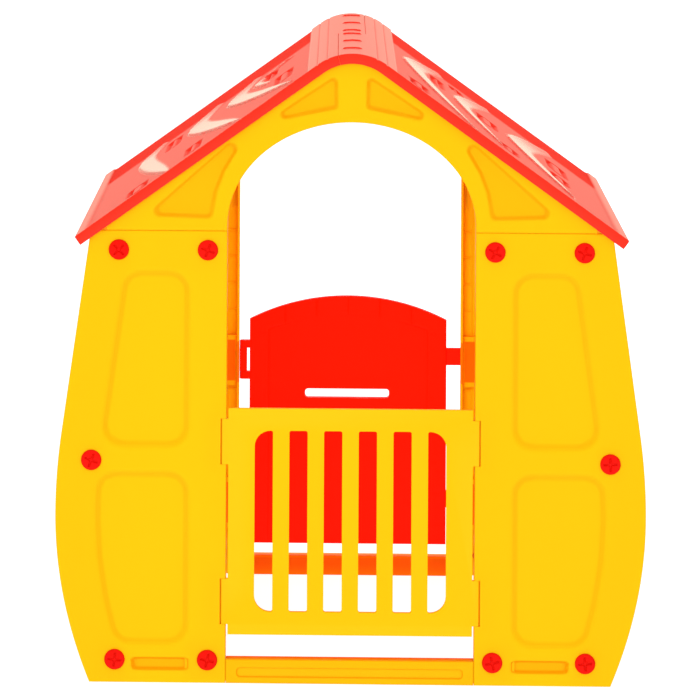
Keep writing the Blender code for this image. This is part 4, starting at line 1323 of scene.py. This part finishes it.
def roof_lines(side):
    """Grid lines down the roof past the crown's start, and along the ridge, close in the pattern."""
    marks = [m for m in grooves_at(CROWN_GROOVE[0], *CROWN_GROOVES) if m > 0.034]
    down = lines(0.034, ROOF_END, 0.0040, marks + [CROWN_BAND, CROWN_BAND + 0.004])
    bars = [side * y + d for y in CROWN_BARS for d in (-0.0032, -0.0022, 0.0022, 0.0032)]
    patterned = np.linspace(-HALF_DEPTH, PATTERN_END, 152) * side
    length = lines(-HALF_DEPTH, HALF_DEPTH, 0.012, [-GAP / 2, GAP / 2, *bars, *patterned])
    return down[down > LEAD_END], length[:, None]


def roof_half(name, side):
    """Moulded tray of the right half, turned round for the left; its ridge edge steps over at mid-length."""
    down, y = roof_lines(side)
    start = np.where(y < 0, -RIDGE_STEP, RIDGE_STEP) * 1.01 + GAP / 2
    ridge_edge = np.array([0.0, 0.0004, 0.0009, 0.0015, EDGE]) / LEAD_LENGTH
    lead = np.concatenate([ridge_edge, np.linspace(0.06, 0.985, 26)])
    s_lead = start + (LEAD_END - start) * lead[None, :]
    s = np.concatenate([s_lead, down[None, :] + 0 * y], 1)
    yy = y + 0 * s
    end_distance = HALF_DEPTH - np.abs(yy)
    nearest = np.minimum.reduce([end_distance, ROOF_END - s, (s - start) * 1.4])
    relief = roof_pattern(s, yy, side)[0]
    drop = np.where(nearest < EDGE, edge_round(nearest) + relief, relief)
    inner_drop = ROOF_SHEET + np.maximum(relief, 0.0)
    s_in = np.minimum(s, ROOF_END - ROOF_SHEET)
    y_in = np.clip(yy, -HALF_DEPTH + ROOF_SHEET, HALF_DEPTH - ROOF_SHEET)
    fall = np.clip(np.minimum(end_distance, ROOF_END - s) / ROOF_SHEET, 0.0, 1.0)
    hem = FASCIA - 0.0005 + (ROOF_SHEET + 0.0005 - FASCIA) * fall * 0.98
    inner_drop = np.where(fall < 1, hem, inner_drop)

    def skirted(s_grid, y_grid, drops):
        """Adds the fascia's lower edge after the eave column and outside the end rows."""
        s_grid = np.concatenate([s_grid, s_grid[:, -1:]], 1)
        y_grid = np.concatenate([y_grid, y_grid[:, -1:]], 1)
        drops = np.concatenate([drops, np.full((len(drops), 1), FASCIA)], 1)
        s_grid = np.concatenate([s_grid[:1], s_grid, s_grid[-1:]])
        y_grid = np.concatenate([y_grid[:1], y_grid, y_grid[-1:]])
        low = np.full((1, drops.shape[1]), FASCIA)
        drops = np.concatenate([low, drops, low])
        x, z = roof_point(s_grid, drops)
        return np.stack([x, y_grid, z], -1)

    obj = shell(name, skirted(s, yy, drop), skirted(s_in, y_in, inner_drop))
    paint(obj, "polish", lambda at: roof_pattern(roof_reach(at[:, 0]), at[:, 1], side)[1])
    if side < 0:
        obj.data.transform(Matrix.Rotation(math.pi, 4, "Z"))
    return obj


def build_roof():
    for hand, side in (("right", 1), ("left", -1)):
        piece = roof_half("roof_%s_shell" % hand, side)
        place(finish(piece, "roof"), "house", "red_plastic", "roof_" + hand)


# Kept CAD nodes and stage ---------------------------------------------------------------------------

def dress_cad_nodes():
    for name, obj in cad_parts.items():
        if obj.hide_render:
            continue
        finish(obj, "steel" if "pin" in name else "red")


FLOOR_PAPER = (0.35, 0.35, 0.35)
FLOOR_GLOW = 0.90
SKY_LOW = 0.38
SKY_HIGH = 1.25


def build_stage():
    floor_mesh = bpy.data.meshes.new("floor")
    work = bmesh.new()
    bmesh.ops.create_grid(work, x_segments=1, y_segments=1, size=30.0)
    work.to_mesh(floor_mesh)
    work.free()
    floor = link(bpy.data.objects.new("floor", floor_mesh))
    floor.location.z = -0.0005
    made, tree = new_material("floor_paper")
    body = node(tree, "ShaderNodeBsdfDiffuse", Color=(*FLOOR_PAPER, 1.0))
    glow = node(tree, "ShaderNodeEmission", Strength=FLOOR_GLOW)
    both = node(tree, "ShaderNodeAddShader")
    tree.links.new(body.outputs["BSDF"], both.inputs[0])
    tree.links.new(glow.outputs["Emission"], both.inputs[1])
    node(tree, "ShaderNodeOutputMaterial", Surface=both.outputs["Shader"])
    floor_mesh.materials.append(made)
    floor.visible_glossy = False


def build_world():
    """White studio: plain white to the camera, soft light, and a backdrop brighter behind in reflections."""
    world = bpy.data.worlds.new("studio")
    world.use_nodes = True
    tree = world.node_tree
    tree.nodes.clear()
    place_in = node(tree, "ShaderNodeTexCoord").outputs["Generated"]
    split = node(tree, "ShaderNodeSeparateXYZ", Vector=place_in).outputs
    path = node(tree, "ShaderNodeLightPath").outputs
    strength = node(tree, "ShaderNodeMix", data_type="FLOAT", Factor=path["Is Glossy Ray"],
                    A=ranged(tree, split["Z"], 0.15, 1.0, SKY_LOW, SKY_HIGH),
                    B=ranged(tree, split["Y"], -0.5, 0.6, 0.25, 1.35))
    seen = node(tree, "ShaderNodeMix", data_type="FLOAT", Factor=path["Is Camera Ray"],
                A=strength.outputs["Result"], B=1.0)
    backdrop = node(tree, "ShaderNodeBackground", Color=(1.0, 1.0, 1.0, 1.0),
                    Strength=seen.outputs["Result"])
    node(tree, "ShaderNodeOutputWorld", Surface=backdrop.outputs["Background"])
    bpy.context.scene.world = world


# Name, place, aim, size and power
HOUSE_MIDDLE = (0.0, 0.0, 0.5)
LIGHTS = (("key", (-1.6, -6.6, 3.0), HOUSE_MIDDLE, 1.6, 90.0),
          ("flash", (0.0, -7.6, 1.75), HOUSE_MIDDLE, 1.2, 175.0),
          ("inner_fill", (0.0, -0.25, 0.72), (0.0, 0.44, 0.45), 0.3, 2.2),
          ("back_key", (1.6, 6.5, 3.0), HOUSE_MIDDLE, 2.5, 130.0))


def area_light(name, place_at, aim, size, power):
    data = bpy.data.lights.new(name, "AREA")
    data.shape = "DISK"
    data.size = size
    data.energy = power
    lamp = link(bpy.data.objects.new(name, data))
    lamp.location = place_at
    lamp.rotation_mode = "QUATERNION"
    lamp.rotation_quaternion = (Vector(aim) - Vector(place_at)).to_track_quat("-Z", "Y")
    lamp.visible_glossy = False


CAMERA_PLACE = (-0.0185, -7.39, 1.70)
CAMERA_LENS = 207.0
CAMERA_SHIFT = {"shift_x": 0.1295, "shift_y": -0.9296}
CAMERA_ROLL = -0.295
CAMERA_YAW = 1.20


def reading(driver, name, camera, channel):
    made = driver.variables.new()
    made.name = name
    made.type = "TRANSFORMS"
    made.targets[0].id = camera
    made.targets[0].transform_type = channel


def build_camera():
    """Level front camera whose lens shift keeps the walls upright; once it is moved the shift is zero."""
    data = bpy.data.cameras.new("front_camera")
    camera = link(bpy.data.objects.new("front_camera", data))
    data.lens = CAMERA_LENS
    data.sensor_width = 36.0
    camera.location = CAMERA_PLACE
    camera.rotation_euler = (math.pi / 2, math.radians(CAMERA_ROLL), math.radians(CAMERA_YAW))
    for path, value in CAMERA_SHIFT.items():
        driver = data.driver_add(path).driver
        driver.type = "SCRIPTED"
        reading(driver, "height", camera, "LOC_Z")
        reading(driver, "depth", camera, "LOC_Y")
        driver.expression = "%.4f * (abs(height - %.3f) < 0.001) * (abs(depth - %.3f) < 0.001)" % (
            value, CAMERA_PLACE[2], CAMERA_PLACE[1])
    bpy.context.scene.camera = camera


build_panels()
build_gables()
build_sills()
gate()
build_door()
build_bolts()
build_sides()
build_roof()
dress_cad_nodes()
build_stage()
build_world()
for light in LIGHTS:
    area_light(*light)
build_camera()

scene = bpy.context.scene
scene.view_settings.view_transform = "Standard"
scene.cycles.use_denoising = True
